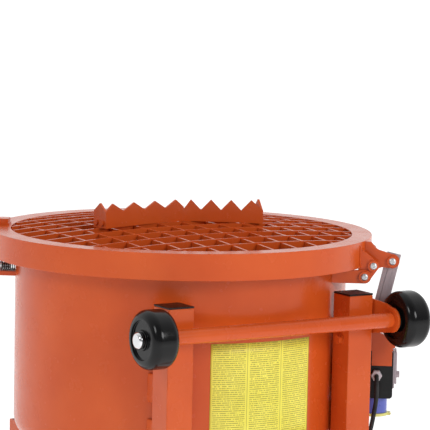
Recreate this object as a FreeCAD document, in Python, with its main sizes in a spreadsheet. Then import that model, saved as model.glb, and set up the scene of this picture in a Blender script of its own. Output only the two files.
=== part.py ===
import FreeCAD, Part
import math
import os
import re
import Sketcher

# A pan mixer for concrete and mortar: a steel pan on a tube frame, a rotor with
# paddles driven from below, and a hinged grille lid that works the safety switch.
# Millimetres, +Z up, origin on the floor under the pan's axis. -Y is the front,
# where the loading axle is. Parts round the lid hinge, the switch and the latch are
# drawn in the "hinge frame": x runs outward from the pan's axis through the hinge,
# y runs along the hinge pins. Each is then turned about Z by hinge_turn.

doc = FreeCAD.newDocument("pan_mixer")
sheet = doc.addObject("Spreadsheet::Sheet", "sizes")

SIZES = {
    # lid ring, grille and bag ripper
    "ring_top": 840, "ring_outer": 345, "ring_inner": 309, "ring_plate": 4,
    "skirt_drop": 46, "dome_rise": 14, "bar_pitch": 50, "bar_thick": 4,
    "bar_depth": 15, "cross_depth": 12, "cross_step": 1.5,
    "seal_inner": 313, "seal_outer": 330, "seal_height": 15.6,
    "blade_thick": 4, "blade_peak": 54,
    "left_wing": 176, "left_wing_turn": 187.3, "left_fold": -90, "left_tooth_depth": 14,
    "right_wing": 146, "right_wing_turn": -28.5, "right_fold": 110, "right_tooth_depth": 19,
    "left_first": 18, "left_pitch": 47.4, "right_first": 14, "right_pitch": 36.7,
    "blade_apex": 6, "blade_flange": 34, "blade_bolt": 5, "blade_head": 3,
    # pan, column and discharge
    "pan_outer": 300, "pan_wall": 4, "pan_floor": 6, "pan_drop": 380, "pan_edge": 40,
    "rim_outer": 334, "rim_plate": 4, "column_outer": 45, "column_wall": 7,
    "column_height": 269, "door_long": 116, "door_wide": 72, "door_middle": 167,
    "door_plate": 5, "door_lap": 7, "door_gap": 1.5, "door_shaft": 6, "cheek_plate": 4,
    "cheek_drop": 95, "lever_reach": 130, "lever_side": 140, "lever_grip": 11,
    # frame
    "tube_size": 50, "tube_wall": 3, "leg_side": 184, "leg_front": 283,
    "leg_below_ring": 91, "cap_plate": 3, "cap_plug": 12, "foot_size": 86, "foot_plate": 8,
    "foot_hole": 7, "leg_bolt_below": 170,
    "pad_height": 50, "pad_below": 120, "front_cross": 120, "rear_cross": 230, "small_tube": 30,
    "frame_bolt": 5,
    # loading axle and wheels
    "load_axle_front": 341, "load_axle_below": 132, "load_tube": 13, "load_shaft": 10,
    "load_wheel": 50, "load_wheel_width": 50, "load_wheel_side": 256, "load_shoulder": 15,
    "load_dish": 33, "load_dish_depth": 4, "bracket_plate": 5, "bracket_lobe": 22,
    "bracket_top": 98, "bracket_low": 165, "side_gap": 1.5, "cap_outer": 14, "cap_height": 8,
    # transport wheels and push handle
    "big_wheel": 150, "big_wheel_width": 60, "big_wheel_side": 316, "rim_radius": 98,
    "rim_web": 8, "hub_outer": 26, "big_shaft": 12.5, "big_shaft_end": 352,
    "spacer_outer": 18, "handle_tube": 13, "handle_top": 800, "handle_bend": 34,
    "handle_side": 122,
    "grip_outer": 16, "grip_long": 84, "grip_side": 45,
    # rotor and drive
    "shaft_radius": 17.5, "shaft_top": 788, "hub_radius": 60, "hub_top": 790,
    "hub_skirt": 90, "arm_first": 110, "arm_second": 165, "arm_third": 215, "hub_clear": 3, "cap_disc": 34, "cap_disc_height": 17,
    "arm_thick": 12, "arm_tall": 28, "arm_level": 742, "floor_clear": 4,
    "paddle_long": 96, "paddle_tall": 62, "paddle_plate": 8, "paddle_turn": 42,
    "scraper_gap": 5, "scraper_wide": 42, "bearing_height": 16,
    "gear_teeth": 70, "pinion_teeth": 17, "gear_module": 1.5, "gear_width": 14,
    "gear_backlash": 0.3, "gear_side": 5,
    "case_wall": 7, "case_gap": 2.5, "case_height": 68, "case_cover": 8, "lay_shaft": 8,
    "motor_radius": 74, "motor_height": 150, "fin_depth": 7, "fin_count": 28,
    "fan_height": 46, "motor_shaft": 9, "box_long": 82, "box_deep": 38, "box_tall": 62,
    # lid hinge and interlock
    "hinge_turn": -35, "hinge_out": 331.6, "hinge_below": 61, "hinge_side": 122,
    "hinge_plate": 6, "plate_gap": 0.5, "hinge_lobe": 12, "hinge_pin": 5, "head_radius": 9.5,
    "head_height": 5, "tie_out": 347, "tie_below": 42, "tie_lobe": 10, "sleeve_outer": 7.5,
    "lever_near": 92, "arm_out": 380.8, "arm_below": 36, "arm_lobe": 12.5,
    "link_plate": 5, "link_wide": 25, "link_long": 104, "link_lean": 12.8, "link_over": 14,
    "open_pivot": 0.6, "rocker_wide": 22, "rocker_shaft": 6,
    # switch group
    "plate_near": 70, "sheet": 3, "flange_out": 386, "flange_top": 196, "flange_low": 228,
    "hood_top": 136, "hood_in": 295, "hood_out": 391, "hood_low": 181,
    "switch_in": 318, "switch_out": 388.3, "switch_top": 201, "switch_low": 288,
    "switch_near": 66.5, "switch_far": 8, "switch_round": 6,
    "safety_deep": 24, "safety_tall": 41, "safety_long": 38, "safety_far": 26,
    "face_plate": 3, "face_top": 204, "face_low": 270, "face_margin": 5,
    "flap_plate": 3.5, "flap_low": 262, "knob_radius": 6, "knob_height": 5.5,
    "button_radius": 8, "button_travel": 3,
    "inlet_out": 356, "inlet_side": 36, "inlet_radius": 24, "inlet_low": 317,
    "inlet_cap": 26, "inlet_cap_plate": 5, "gland_out": 359, "gland_below": 245,
    "gland_radius": 10, "gland_long": 14, "cable_radius": 4,
    # latch and lid handle, on the side away from the hinge
    "latch_below": 75, "spring_radius": 9, "spring_wire": 1.6, "spring_turns": 7,
    "latch_rod": 5, "latch_tail": 16, "latch_travel": 7.5, "collar": 3, "guide_plate": 6, "latch_base": 8, "latch_wide": 34,
    "catch_plate": 4, "catch_wide": 36, "catch_drop": 96, "catch_below": 6, "catch_room": 2.5, "nose_gap": 0.4,
    "handle_bar": 8, "handle_lift": 4, "handle_wide": 30, "handle_end": 380, "handle_start": 315,
    "grip_rod": 9, "grip_half": 46,
    # instruction label
    "label_wide": 38.3, "label_start": -111, "label_top": 160, "label_tall": 165,
    "label_thick": 0.5,
    # fits
    "run_fit": 0.08, "seat_gap": 0.4, "weld_gap": 0.1, "seal_gap": 0.4,
}

for row, (alias, number) in enumerate(SIZES.items(), start=1):
    sheet.set("A%d" % row, alias)
    sheet.set("B%d" % row, str(number))
    sheet.setAlias("B%d" % row, alias)
doc.recompute()

WORD = re.compile(r"[a-z_]+")


def bound(formula):
    """A formula written with the sheet's aliases, as an expression FreeCAD can bind."""
    return WORD.sub(lambda m: "sizes." + m.group() if m.group() in SIZES else m.group(), str(formula))


def bind(item, **formulas):
    for prop, formula in formulas.items():
        item.setExpression(prop.replace("__", "."), bound(formula))
    return item


def size(alias):
    return float(sheet.get(alias))


# ---- shapes that the pieces are made from ----

UPRIGHT = FreeCAD.Rotation()
TURNS = {
    "Z": UPRIGHT,
    "X": FreeCAD.Rotation(FreeCAD.Vector(0, 1, 0), 90),
    "Y": FreeCAD.Rotation(FreeCAD.Vector(1, 0, 0), -90),
}
PLANES = {
    "XY": (UPRIGHT, (0, 0, 1)),
    "XZ": (FreeCAD.Rotation(FreeCAD.Vector(1, 0, 0), 90), (0, 1, 0)),
    "YZ": (FreeCAD.Rotation(FreeCAD.Vector(1, 1, 1), 120), (1, 0, 0)),
}


def at(item, x, y, z, rotation=UPRIGHT):
    item.Placement = FreeCAD.Placement(FreeCAD.Vector(), rotation)
    return bind(item, Placement__Base__x=x, Placement__Base__y=y, Placement__Base__z=z)


def block(name, dx, dy, dz, x, y, z):
    """A box from its low corner."""
    item = doc.addObject("Part::Box", name)
    bind(item, Length=dx, Width=dy, Height=dz)
    return at(item, x, y, z)


def rod(name, radius, length, x, y, z, axis="Z"):
    item = doc.addObject("Part::Cylinder", name)
    bind(item, Radius=radius, Height=length)
    return at(item, x, y, z, TURNS[axis])


def ball(name, radius, x, y, z):
    item = doc.addObject("Part::Sphere", name)
    bind(item, Radius=radius)
    return at(item, x, y, z)


def cut(name, base, *tools):
    item = doc.addObject("Part::Cut", name)
    item.Base = base
    item.Tool = tools[0] if len(tools) == 1 else group(name + "_tools", *tools)
    return item


def fuse(name, *pieces):
    item = doc.addObject("Part::MultiFuse", name)
    item.Shapes = list(pieces)
    item.Refine = True
    return item


def common(name, *pieces):
    item = doc.addObject("Part::MultiCommon", name)
    item.Shapes = list(pieces)
    return item


def group(name, *pieces):
    item = doc.addObject("Part::Compound", name)
    item.Links = list(pieces)
    return item


def mirrored(name, source, *normal):
    """The same piece on the other side of a plane through the pan's axis."""
    item = doc.addObject("Part::Mirroring", name)
    item.Source = source
    item.Normal = FreeCAD.Vector(*normal)
    return item


def pipe(name, outer, inner, length, x, y, z, axis="Z"):
    return cut(
        name,
        rod(name + "_outside", outer, length, x, y, z, axis),
        rod(name + "_bore", inner, length, x, y, z, axis),
    )


def outline(name, plane, offset, points):
    """A closed sketch whose corners are bound to the sheet, on a plane moved by offset."""
    sketch = doc.addObject("Sketcher::SketchObject", name)
    rotation, normal = PLANES[plane]
    sketch.Placement = FreeCAD.Placement(FreeCAD.Vector(), rotation)
    axis = "xyz"[normal.index(1)]
    sketch.setExpression("Placement.Base." + axis, bound(offset))
    count = len(points)
    turn = 2 * math.pi / count
    ends = [FreeCAD.Vector(math.cos(i * turn), math.sin(i * turn), 0) for i in range(count)]
    for i in range(count):
        sketch.addGeometry(Part.LineSegment(ends[i], ends[(i + 1) % count]))
    for i in range(count):
        sketch.addConstraint(Sketcher.Constraint("Coincident", i, 2, (i + 1) % count, 1))
    for i, (across, up) in enumerate(points):
        for kind, formula, start in (("DistanceX", across, ends[i].x), ("DistanceY", up, ends[i].y)):
            place = sketch.addConstraint(Sketcher.Constraint(kind, -1, 1, i, 1, start))
            sketch.setExpression("Constraints[%d]" % place, bound(formula))
    return sketch


def plate(name, plane, offset, thick, points):
    """A flat plate with that outline, thick from offset along the plane's normal."""
    item = doc.addObject("Part::Extrusion", name)
    item.Base = outline(name + "_outline", plane, offset, points)
    item.DirMode = "Custom"
    item.Dir = FreeCAD.Vector(*PLANES[plane][1])
    item.Solid = True
    return bind(item, LengthFwd=thick)


def rounded(name, base, radius, chosen):
    """The base with the edges that chosen() accepts rounded. It works on a finished base."""
    doc.recompute()
    item = doc.addObject("Part::Fillet", name)
    item.Base = base
    item.Edges = [
        (number, radius, radius)
        for number, edge in enumerate(base.Shape.Edges, start=1)
        if chosen(edge)
    ]
    return item


def runs_along(direction):
    """Picks straight edges along a direction."""
    aim = FreeCAD.Vector(*direction)

    def chosen(edge):
        straight = isinstance(edge.Curve, Part.Line)
        return straight and abs(edge.tangentAt(edge.FirstParameter).dot(aim)) > 0.99

    return chosen


def is_round(edge):
    return isinstance(edge.Curve, Part.Circle) and edge.isClosed()


PIECES = {}


def piece(label, item, turned=False):
    """Gives a finished piece its name. A turned piece was drawn in the hinge frame."""
    if turned:
        item = group(label + "_turned", item)
        item.Placement = FreeCAD.Placement(
            FreeCAD.Vector(), FreeCAD.Rotation(FreeCAD.Vector(0, 0, 1), size("hinge_turn"))
        )
        item.setExpression("Placement.Rotation.Angle", bound("hinge_turn * 1 deg"))
    item.Label = label
    PIECES[label] = item
    return item


def made(label, shape, turned=False):
    """A piece whose shape is worked out by Part's own functions."""
    item = doc.addObject("Part::Feature", label + "_shape")
    item.Shape = shape
    return piece(label, item, turned)


# ---- pan: wall and floor with a rolled bottom edge, rim, and the column in its middle ----

PAN_LOW = "ring_top - pan_drop"
RIM_TOP = "(ring_top - ring_plate - seal_height - seat_gap)"
FLOOR_TOP = "(ring_top - pan_drop + pan_floor)"
COLUMN_TOP = "(ring_top - pan_drop + pan_floor + column_height)"
EDGE_TOP = "(ring_top - pan_drop + pan_edge)"
BAY = "(door_middle - door_wide / 2)"


def low_edge(edge):
    return is_round(edge) and abs(edge.CenterOfMass.z - edge_level) < 0.01


pan_out = rod("pan_outside", "pan_outer", RIM_TOP + " - (" + PAN_LOW + ")", 0, 0, PAN_LOW)
pan_in = rod("pan_hollow", "pan_outer - pan_wall", RIM_TOP + " - " + FLOOR_TOP + " + 1", 0, 0, FLOOR_TOP)
edge_level = size("ring_top") - size("pan_drop")
pan_out = rounded("pan_outside_rolled", pan_out, size("pan_edge"), low_edge)
edge_level += size("pan_floor")
pan_in = rounded("pan_hollow_rolled", pan_in, size("pan_edge") - size("pan_wall"), low_edge)
rim = pipe("pan_rim", "rim_outer", "pan_outer - pan_wall / 2", "rim_plate", 0, 0, RIM_TOP + " - rim_plate")
strip = pipe("pan_strip", "pan_outer", "pan_outer - pan_wall", RIM_TOP + " - " + EDGE_TOP, 0, 0, EDGE_TOP)
column = pipe("column", "column_outer", "column_outer - column_wall", "column_height", 0, 0, FLOOR_TOP)
below_edge = rod("below_edge", "rim_outer", "pan_edge + 1", 0, 0, PAN_LOW + " - 1")
column_bore = rod("column_bore", "column_outer - column_wall", "pan_floor * 3", 0, 0, PAN_LOW + " - pan_floor")
doorway = block(
    "doorway", "door_long", "door_wide", "pan_floor * 3",
    "-door_long / 2", BAY, PAN_LOW + " - pan_floor",
)
dish = cut("pan_dish", common("pan_bottom", cut("pan_cup", pan_out, pan_in), below_edge), column_bore, doorway)
piece("mixing_pan", group("pan_parts", fuse("pan_wall_and_rim", strip, rim), dish, column))

# ---- discharge door under the floor, on a shaft in the chute's cheeks, with its lever ----

SHAFT_BACK = "(door_middle + door_wide / 2 + door_lap + door_shaft)"
SHAFT_DOWN = "(ring_top - pan_drop - door_gap - door_plate - door_shaft * 0.5)"
CHEEK_SIDE = "(door_long / 2 + door_lap + side_gap)"
door_flat = block(
    "door_flat", "door_long + 2 * door_lap", "door_wide + 2 * door_lap + door_shaft", "door_plate",
    "-door_long / 2 - door_lap", BAY + " - door_lap", PAN_LOW + " - door_gap - door_plate",
)
door_shaft = rod(
    "door_rod", "door_shaft", "lever_side + door_long / 2 + door_lap + 18",
    "-door_long / 2 - door_lap - 12", SHAFT_BACK, SHAFT_DOWN, "X",
)
door_lever = block(
    "door_lever", "door_plate * 1.6", "door_shaft * 2.4", "lever_reach",
    "lever_side - 5", SHAFT_BACK + " - door_shaft * 1.2", SHAFT_DOWN + " - lever_reach",
)
door_knob = ball("door_knob", "lever_grip", "lever_side - 1", SHAFT_BACK, SHAFT_DOWN + " - lever_reach")
piece("discharge_door", fuse("door_parts", door_flat, door_shaft, door_lever, door_knob))


def cheek(name, x):
    flat = block(
        name, "cheek_plate", "door_wide + 3 * door_lap + door_shaft * 4", "cheek_drop",
        x, BAY + " - 2 * door_lap", PAN_LOW + " - cheek_drop",
    )
    hole = rod(name + "_hole", "door_shaft + run_fit", "cheek_plate * 3", x + " - cheek_plate", SHAFT_BACK, SHAFT_DOWN, "X")
    return cut(name + "_bored", flat, hole)


apron = block(
    "chute_apron", CHEEK_SIDE + " * 2", "cheek_plate", "cheek_drop",
    "-" + CHEEK_SIDE, BAY + " - 2 * door_lap", PAN_LOW + " - cheek_drop",
)
piece(
    "discharge_chute",
    fuse("chute_parts", cheek("cheek_left", "-" + CHEEK_SIDE + " - cheek_plate"), cheek("cheek_right", CHEEK_SIDE), apron),
)

# ---- frame: two front legs, two side frames and the cross tubes ----

LEG_TOP = "(ring_top - leg_below_ring)"
LEG_Y = "(-leg_front - tube_size / 2)"
RAIL_LOW = "(ring_top - pan_drop - tube_size)"
REAR_Y = "(load_axle_front + load_wheel - big_wheel)"


def square_tube(name, axis, side, wall, length, x, y, z):
    """A hollow square tube from its low corner, running along one axis."""
    spans = {"X": (length, side, side), "Y": (side, length, side), "Z": (side, side, length)}[axis]
    outside = block(name, *spans, x, y, z)
    hollow = [s if s == length else "%s - 2 * %s" % (s, wall) for s in spans]
    shift = [c if s == length else "%s + %s" % (c, wall) for c, s in zip((x, y, z), spans)]
    return cut(name + "_tube", outside, block(name + "_hollow", *hollow, *shift))


def leg(label, side):
    """A front leg: tube, foot plate with its anchor hole, pads that hold it off the pan."""
    x = "(%d * leg_side)" % side
    tube = square_tube(
        label + "_box", "Z", "tube_size", "tube_wall", LEG_TOP + " - foot_plate",
        x + " - tube_size / 2", LEG_Y, "foot_plate",
    )
    foot = block(
        label + "_foot", "foot_size", "foot_size", "foot_plate",
        x + " - foot_size / 2", "-leg_front - foot_size + tube_size / 2", "0",
    )
    hole = rod(
        label + "_anchor", "foot_hole", "foot_plate * 3",
        x, "-leg_front - tube_size / 2 - foot_hole * 2.4", "-foot_plate",
    )
    pads = [
        block(
            label + "_pad%d" % number, "tube_size * 0.6", "tube_size * 1.2", "pad_height",
            x + " - tube_size * 0.3", "-leg_front + tube_size / 2", z,
        )
        for number, z in enumerate((LEG_TOP + " - pad_below - pad_height", "ring_top - pan_drop + pan_edge"))
    ]
    pan = rod(label + "_pan", "pan_outer + weld_gap", "ring_top", 0, 0, 0)
    base = cut(label + "_base", foot, hole)
    saddles = cut(label + "_pads", group(label + "_pad_pair", *pads), pan)
    return fuse(label, tube, base, saddles)


piece("front_legs", group("leg_pair", leg("leg_left", -1), leg("leg_right", 1)))


def leg_cap(name, side):
    x = "(%d * leg_side)" % side
    top = block(name + "_top", "tube_size", "tube_size", "cap_plate", x + " - tube_size / 2", LEG_Y, LEG_TOP)
    plug = block(
        name + "_plug", "tube_size - 2 * tube_wall - weld_gap", "tube_size - 2 * tube_wall - weld_gap", "cap_plug",
        x + " - tube_size / 2 + tube_wall + weld_gap / 2", LEG_Y + " + tube_wall + weld_gap / 2", LEG_TOP + " - cap_plug",
    )
    return fuse(name, top, plug)


piece("leg_caps", group("leg_cap_pair", leg_cap("cap_left", -1), leg_cap("cap_right", 1)))


def side_frame(label, side):
    """A rail under the pan and the rear post that carries the axle, welded together."""
    x = "(%d * leg_side - tube_size / 2)" % side
    rail = square_tube(
        label + "_rail", "Y", "tube_size", "tube_wall",
        "(leg_front - tube_size / 2 + " + REAR_Y + " - tube_size / 2)",
        x, "-leg_front + tube_size / 2", RAIL_LOW,
    )
    post_low = "(big_wheel - tube_size / 2)"
    post = square_tube(
        label + "_post", "Z", "tube_size", "tube_wall", "ring_top - pan_drop - " + post_low,
        x, REAR_Y + " - tube_size / 2", post_low,
    )
    hole = rod(label + "_hole", "big_shaft", "tube_size * 2", x + " - tube_size / 2", REAR_Y, "big_wheel", "X")
    return cut(label, fuse(label + "_welded", rail, post), hole)


piece("side_frames", group("side_frame_pair", side_frame("side_left", -1), side_frame("side_right", 1)))

INSIDE = "2 * (leg_side - tube_size / 2)"
piece(
    "cross_tubes",
    group(
        "cross_tube_set",
        square_tube("front_low_cross", "X", "small_tube", "tube_wall", INSIDE,
                    "-leg_side + tube_size / 2", "-leg_front - small_tube / 2", "front_cross"),
        square_tube("rear_low_cross", "X", "small_tube", "tube_wall", INSIDE,
                    "-leg_side + tube_size / 2", REAR_Y + " - small_tube / 2", "rear_cross"),
        square_tube("front_rail_cross", "X", "small_tube", "tube_wall", INSIDE,
                    "-leg_side + tube_size / 2", "-leg_front + tube_size * 2", "ring_top - pan_drop - small_tube"),
    ),
)


def washer_bolt(name, radius, x, y, z, axis, out):
    """A hex-head bolt and washer lying against a face. out is +1 or -1 along the axis."""
    low = {"X": x, "Y": y, "Z": z}[axis]
    disc_low = low if out > 0 else low + " - " + radius + " * 0.4"
    head_low = low + (" + " + radius + " * 0.4" if out > 0 else " - " + radius + " * 1.7")
    spots = []
    for level in (disc_low, head_low):
        spots.append([level if c == axis else p for c, p in zip("XYZ", (x, y, z))])
    disc = rod(name + "_washer", radius + " * 2.1", radius + " * 0.4", *spots[0], axis)
    head = doc.addObject("Part::Prism", name + "_head")
    head.Polygon = 6
    bind(head, Circumradius=radius + " * 1.75", Height=radius + " * 1.3")
    at(head, *spots[1], TURNS[axis])
    return fuse(name, disc, head)


bolt_right = washer_bolt(
    "leg_bolt_right", "frame_bolt", "leg_side - tube_size / 2", "-leg_front", "ring_top - leg_bolt_below", "X", -1
)
leg_bolts = group("leg_bolt_pair", bolt_right, mirrored("leg_bolt_left", bolt_right, 1, 0, 0))

# ---- loading axle at the front, on two joggled brackets, with its two small wheels ----

AXLE_Z = "(ring_top - load_axle_below)"
PLATE_OUT = "(load_wheel_side - load_wheel_width / 2 - side_gap)"


leg_face = "(leg_side + tube_size / 2)"
strip = plate(
    "bracket_strip", "XY", AXLE_Z + " - 60", "120",
    [
        (leg_face, "-leg_front + tube_size * 0.4"),
        (leg_face + " + bracket_plate", "-leg_front + tube_size * 0.4"),
        (leg_face + " + bracket_plate", "-leg_front - tube_size * 0.3"),
        (PLATE_OUT, "-load_axle_front + bracket_lobe * 0.75"),
        (PLATE_OUT, "-load_axle_front - bracket_lobe"),
        (PLATE_OUT + " - bracket_plate", "-load_axle_front - bracket_lobe"),
        (PLATE_OUT + " - bracket_plate", "-load_axle_front + bracket_lobe * 0.8"),
        (leg_face, "-leg_front - tube_size * 0.25"),
    ],
)
profile = plate(
    "bracket_profile", "YZ", leg_face + " - 1", "60",
    [
        ("-leg_front + tube_size * 0.4", "ring_top - bracket_top"),
        ("-leg_front + tube_size * 0.4", "ring_top - bracket_low"),
        ("-load_axle_front", AXLE_Z + " - bracket_lobe"),
        ("-load_axle_front", AXLE_Z + " + bracket_lobe"),
        ("-leg_front - tube_size * 0.3", "ring_top - bracket_top"),
    ],
)
lobe = rod("bracket_round", "bracket_lobe", "60", leg_face + " - 1", "-load_axle_front", AXLE_Z, "X")
eye = rod("bracket_eye", "load_shaft + 0.02", "80", leg_face + " - 2", "-load_axle_front", AXLE_Z, "X")
bracket = cut("bracket_right", common("bracket_blank", strip, fuse("bracket_shape", profile, lobe)), eye)
piece("loading_brackets", group("bracket_pair", bracket, mirrored("bracket_left", bracket, 1, 0, 0)))

tube_half = "(" + PLATE_OUT + " - bracket_plate)"
shaft_half = "(load_wheel_side + load_wheel_width / 2 + side_gap + cap_height * 0.45)"
axle_tube = rod("axle_tube", "load_tube", "2 * " + tube_half, "-" + tube_half, "-load_axle_front", AXLE_Z, "X")
axle_shaft = rod("axle_shaft", "load_shaft", "2 * " + shaft_half, "-" + shaft_half, "-load_axle_front", AXLE_Z, "X")
piece("loading_axle", fuse("loading_axle_parts", axle_tube, axle_shaft))


def small_wheel(label, side):
    start = "(%d * load_wheel_side - load_wheel_width / 2)" % side
    disc = rod(label + "_disc", "load_wheel", "load_wheel_width", start, "-load_axle_front", AXLE_Z, "X")
    disc = rounded(label + "_round", disc, size("load_shoulder"), is_round)
    dishes = [
        pipe(label + "_dish_%s" % name, "load_dish", "load_shaft * 1.7", "load_dish_depth", x, "-load_axle_front", AXLE_Z, "X")
        for name, x in (("low", start), ("high", start + " + load_wheel_width - load_dish_depth"))
    ]
    bore = rod(label + "_bore", "load_shaft + run_fit", "load_wheel_width * 2", start + " - load_wheel_width / 2", "-load_axle_front", AXLE_Z, "X")
    piece(label, cut(label + "_bored", disc, *dishes, bore))


small_wheel("loading_wheel_left", -1)
small_wheel("loading_wheel_right", 1)


def dome_cap(name, side, level, y, radius, height, shaft):
    """A push-on cap over a shaft's end, domed outward."""
    start = level if side > 0 else "-" + level + " - " + height
    disc = rod(name + "_disc", radius, height, start, y[0], y[1], "X")
    outer = rounded(
        name + "_dome", disc, size("cap_height") * 0.6,
        lambda edge: is_round(edge) and edge.CenterOfMass.x * side > disc.Shape.CenterOfMass.x * side,
    )
    pocket = rod(name + "_pocket", shaft, height + " * 0.5", start if side > 0 else start + " + " + height + " * 0.5", y[0], y[1], "X")
    return cut(name, outer, pocket)


caps = [
    dome_cap(
        "wheel_cap_%s" % name, side, "(load_wheel_side + load_wheel_width / 2 + side_gap)",
        ("-load_axle_front", AXLE_Z), "cap_outer", "cap_height", "load_shaft + 0.02",
    )
    for name, side in (("left", -1), ("right", 1))
]
piece("wheel_caps", group("wheel_cap_pair", *caps))

# ---- transport wheels at the rear: solid tyres on pressed rims, on a through axle ----

hub_half = "(big_wheel_width / 2 + 3)"
big_shaft = rod("rear_shaft", "big_shaft", "2 * big_shaft_end", "-big_shaft_end", REAR_Y, "big_wheel", "X")
spacers = []
for name, side in (("left", -1), ("right", 1)):
    inner = "(leg_side + tube_size / 2)"
    outer = "(big_wheel_side - " + hub_half + " - side_gap)"
    low = inner if side > 0 else "-" + outer
    spacers.append(rod("spacer_" + name, "spacer_outer", outer + " - " + inner, low, REAR_Y, "big_wheel", "X"))
    nut_low = "(big_wheel_side + " + hub_half + " + 0.5)"
    low = nut_low if side > 0 else "-big_shaft_end + 0.5"
    spacers.append(rod("shaft_nut_" + name, "spacer_outer", "big_shaft_end - 0.5 - " + nut_low, low, REAR_Y, "big_wheel", "X"))
piece("rear_axle", fuse("rear_axle_parts", big_shaft, *spacers))


def big_wheel(side, name):
    start = "(%d * big_wheel_side - big_wheel_width / 2)" % side
    tyre = rod("tyre_disc_" + name, "big_wheel", "big_wheel_width", start, REAR_Y, "big_wheel", "X")
    tyre = rounded("tyre_round_" + name, tyre, size("load_shoulder"), is_round)
    seat = rod("tyre_seat_" + name, "rim_radius", "big_wheel_width * 2", start + " - big_wheel_width / 2", REAR_Y, "big_wheel", "X")
    piece("rear_tyre_" + name, cut("tyre_" + name, tyre, seat))
    barrel = pipe("rim_barrel_" + name, "rim_radius", "rim_radius - 5", "big_wheel_width - 10", start + " + 5", REAR_Y, "big_wheel", "X")
    web = rod("rim_web_" + name, "rim_radius - 2", "rim_web", start + " + big_wheel_width / 2 - rim_web / 2", REAR_Y, "big_wheel", "X")
    hub = rod("rim_hub_" + name, "hub_outer", "2 * " + hub_half, "%d * big_wheel_side - " % side + hub_half, REAR_Y, "big_wheel", "X")
    bore = rod("rim_bore_" + name, "big_shaft + run_fit", "big_wheel_width * 3", start + " - big_wheel_width", REAR_Y, "big_wheel", "X")
    holes = []
    for number in range(5):
        angle = math.radians(72 * number + 18)
        holes.append(rod(
            "rim_hole_%s_%d" % (name, number), "15", "big_wheel_width", start,
            "%s + rim_radius * 0.6 * %.6f" % (REAR_Y, math.cos(angle)),
            "big_wheel + rim_radius * 0.6 * %.6f" % math.sin(angle), "X",
        ))
    piece("rear_rim_" + name, cut("rim_" + name, fuse("rim_parts_" + name, barrel, web, hub), bore, *holes))


big_wheel(-1, "left")
big_wheel(1, "right")


def bent_tube(points, bend, radius):
    """A round tube along straight runs joined by tangent arcs. A bend of None takes the
    largest arc that the two runs allow. The radii are printed."""
    corners = [FreeCAD.Vector(*p) for p in points]
    edges = []
    radii = []
    start = corners[0]
    for before, corner, after in zip(corners, corners[1:], corners[2:]):
        back = (before - corner).normalize()
        ahead = (after - corner).normalize()
        half = (math.pi - back.getAngle(ahead)) / 2
        reach = 0.45 * min((before - corner).Length, (after - corner).Length)
        arc_radius = bend or reach / math.tan(half)
        trim = arc_radius * math.tan(half)
        first = corner + back * trim
        last = corner + ahead * trim
        centre_way = (back + ahead).normalize()
        middle = corner + centre_way * (arc_radius / math.cos(half) - arc_radius)
        edges.append(Part.LineSegment(start, first).toShape())
        edges.append(Part.Arc(first, middle, last).toShape())
        radii.append(round(arc_radius, 1))
        start = last
    edges.append(Part.LineSegment(start, corners[-1]).toShape())
    path = Part.Wire(edges)
    section = Part.Wire(Part.makeCircle(radius, corners[0], corners[1] - corners[0]))
    tube = path.makePipeShell([section], True, False)
    print("bend radii", radii, "length", round(path.Length, 1))
    expected = math.pi * radius ** 2 * path.Length
    if abs(tube.Volume - expected) > 0.01 * expected:
        raise RuntimeError("a bent tube has the wrong volume")
    return tube


rear_y = size("load_axle_front") + size("load_wheel") - size("big_wheel")
handle_y = size("load_axle_front") + size("load_wheel") - size("grip_outer")
cross_back = rear_y + size("small_tube") / 2
handle_low = size("rear_cross") + size("small_tube") / 2
handle_half = size("handle_side")
piece_points = [
    (-handle_half, cross_back, handle_low),
    (-handle_half, handle_y, handle_low),
    (-handle_half, handle_y, size("handle_top") - size("handle_tube")),
    (handle_half, handle_y, size("handle_top") - size("handle_tube")),
    (handle_half, handle_y, handle_low),
    (handle_half, cross_back, handle_low),
]
made("push_handle", bent_tube(piece_points, size("handle_bend"), size("handle_tube")))

grips = [
    pipe(
        "grip_" + name, "grip_outer", "handle_tube + seat_gap", "grip_long", "%d * grip_side - grip_long / 2" % side,
        "load_axle_front + load_wheel - grip_outer", "handle_top - handle_tube", "X",
    )
    for name, side in (("left", -1), ("right", 1))
]
piece("handle_grips", group("grip_pair", *grips))

# ---- rotor: output shaft up the column, hub over its top, arms, paddles and scraper ----

CASE_TOP = "(ring_top - pan_drop)"
GEAR_TOP = "(ring_top - pan_drop - case_wall - gear_side)"
PITCH = "(gear_module * (gear_teeth + pinion_teeth) / 2)"


def gear(name, teeth, bore, x, y, low, first_tooth):
    """A spur gear with straight-sided teeth that stay inside the involute."""
    module = size("gear_module")
    pitch = module * teeth / 2
    base = pitch * math.cos(math.radians(20))
    tip = pitch + module * 0.9
    root = pitch - module * 1.2
    half_pitch = math.pi / (2 * teeth) - size("gear_backlash") / (2 * pitch)

    def flank(radius):
        """Half of a tooth's angle at a radius."""
        at_radius = math.acos(min(1, base / max(radius, base)))
        at_pitch = math.acos(base / pitch)
        return half_pitch + math.tan(at_pitch) - at_pitch - math.tan(at_radius) + at_radius

    corners = []
    for number in range(teeth):
        middle = math.radians(first_tooth) + 2 * math.pi * number / teeth
        for radius in (root, max(base, root), pitch, tip):
            corners.append((radius, middle - flank(radius)))
        for radius in (tip, pitch, max(base, root), root):
            corners.append((radius, middle + flank(radius)))
    points = [FreeCAD.Vector(r * math.cos(a), r * math.sin(a), 0) for r, a in corners]
    ring = [p for i, p in enumerate(points) if (p - points[i - 1]).Length > 1e-6]
    face = Part.Face(Part.makePolygon(ring + ring[:1]))
    body = face.extrude(FreeCAD.Vector(0, 0, size("gear_width")))
    body.translate(FreeCAD.Vector(x, y, low))
    hole = Part.makeCylinder(bore, 3 * size("gear_width"), FreeCAD.Vector(x, y, low - size("gear_width")))
    item = doc.addObject("Part::Feature", name)
    item.Shape = body.cut(hole)
    return item


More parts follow.
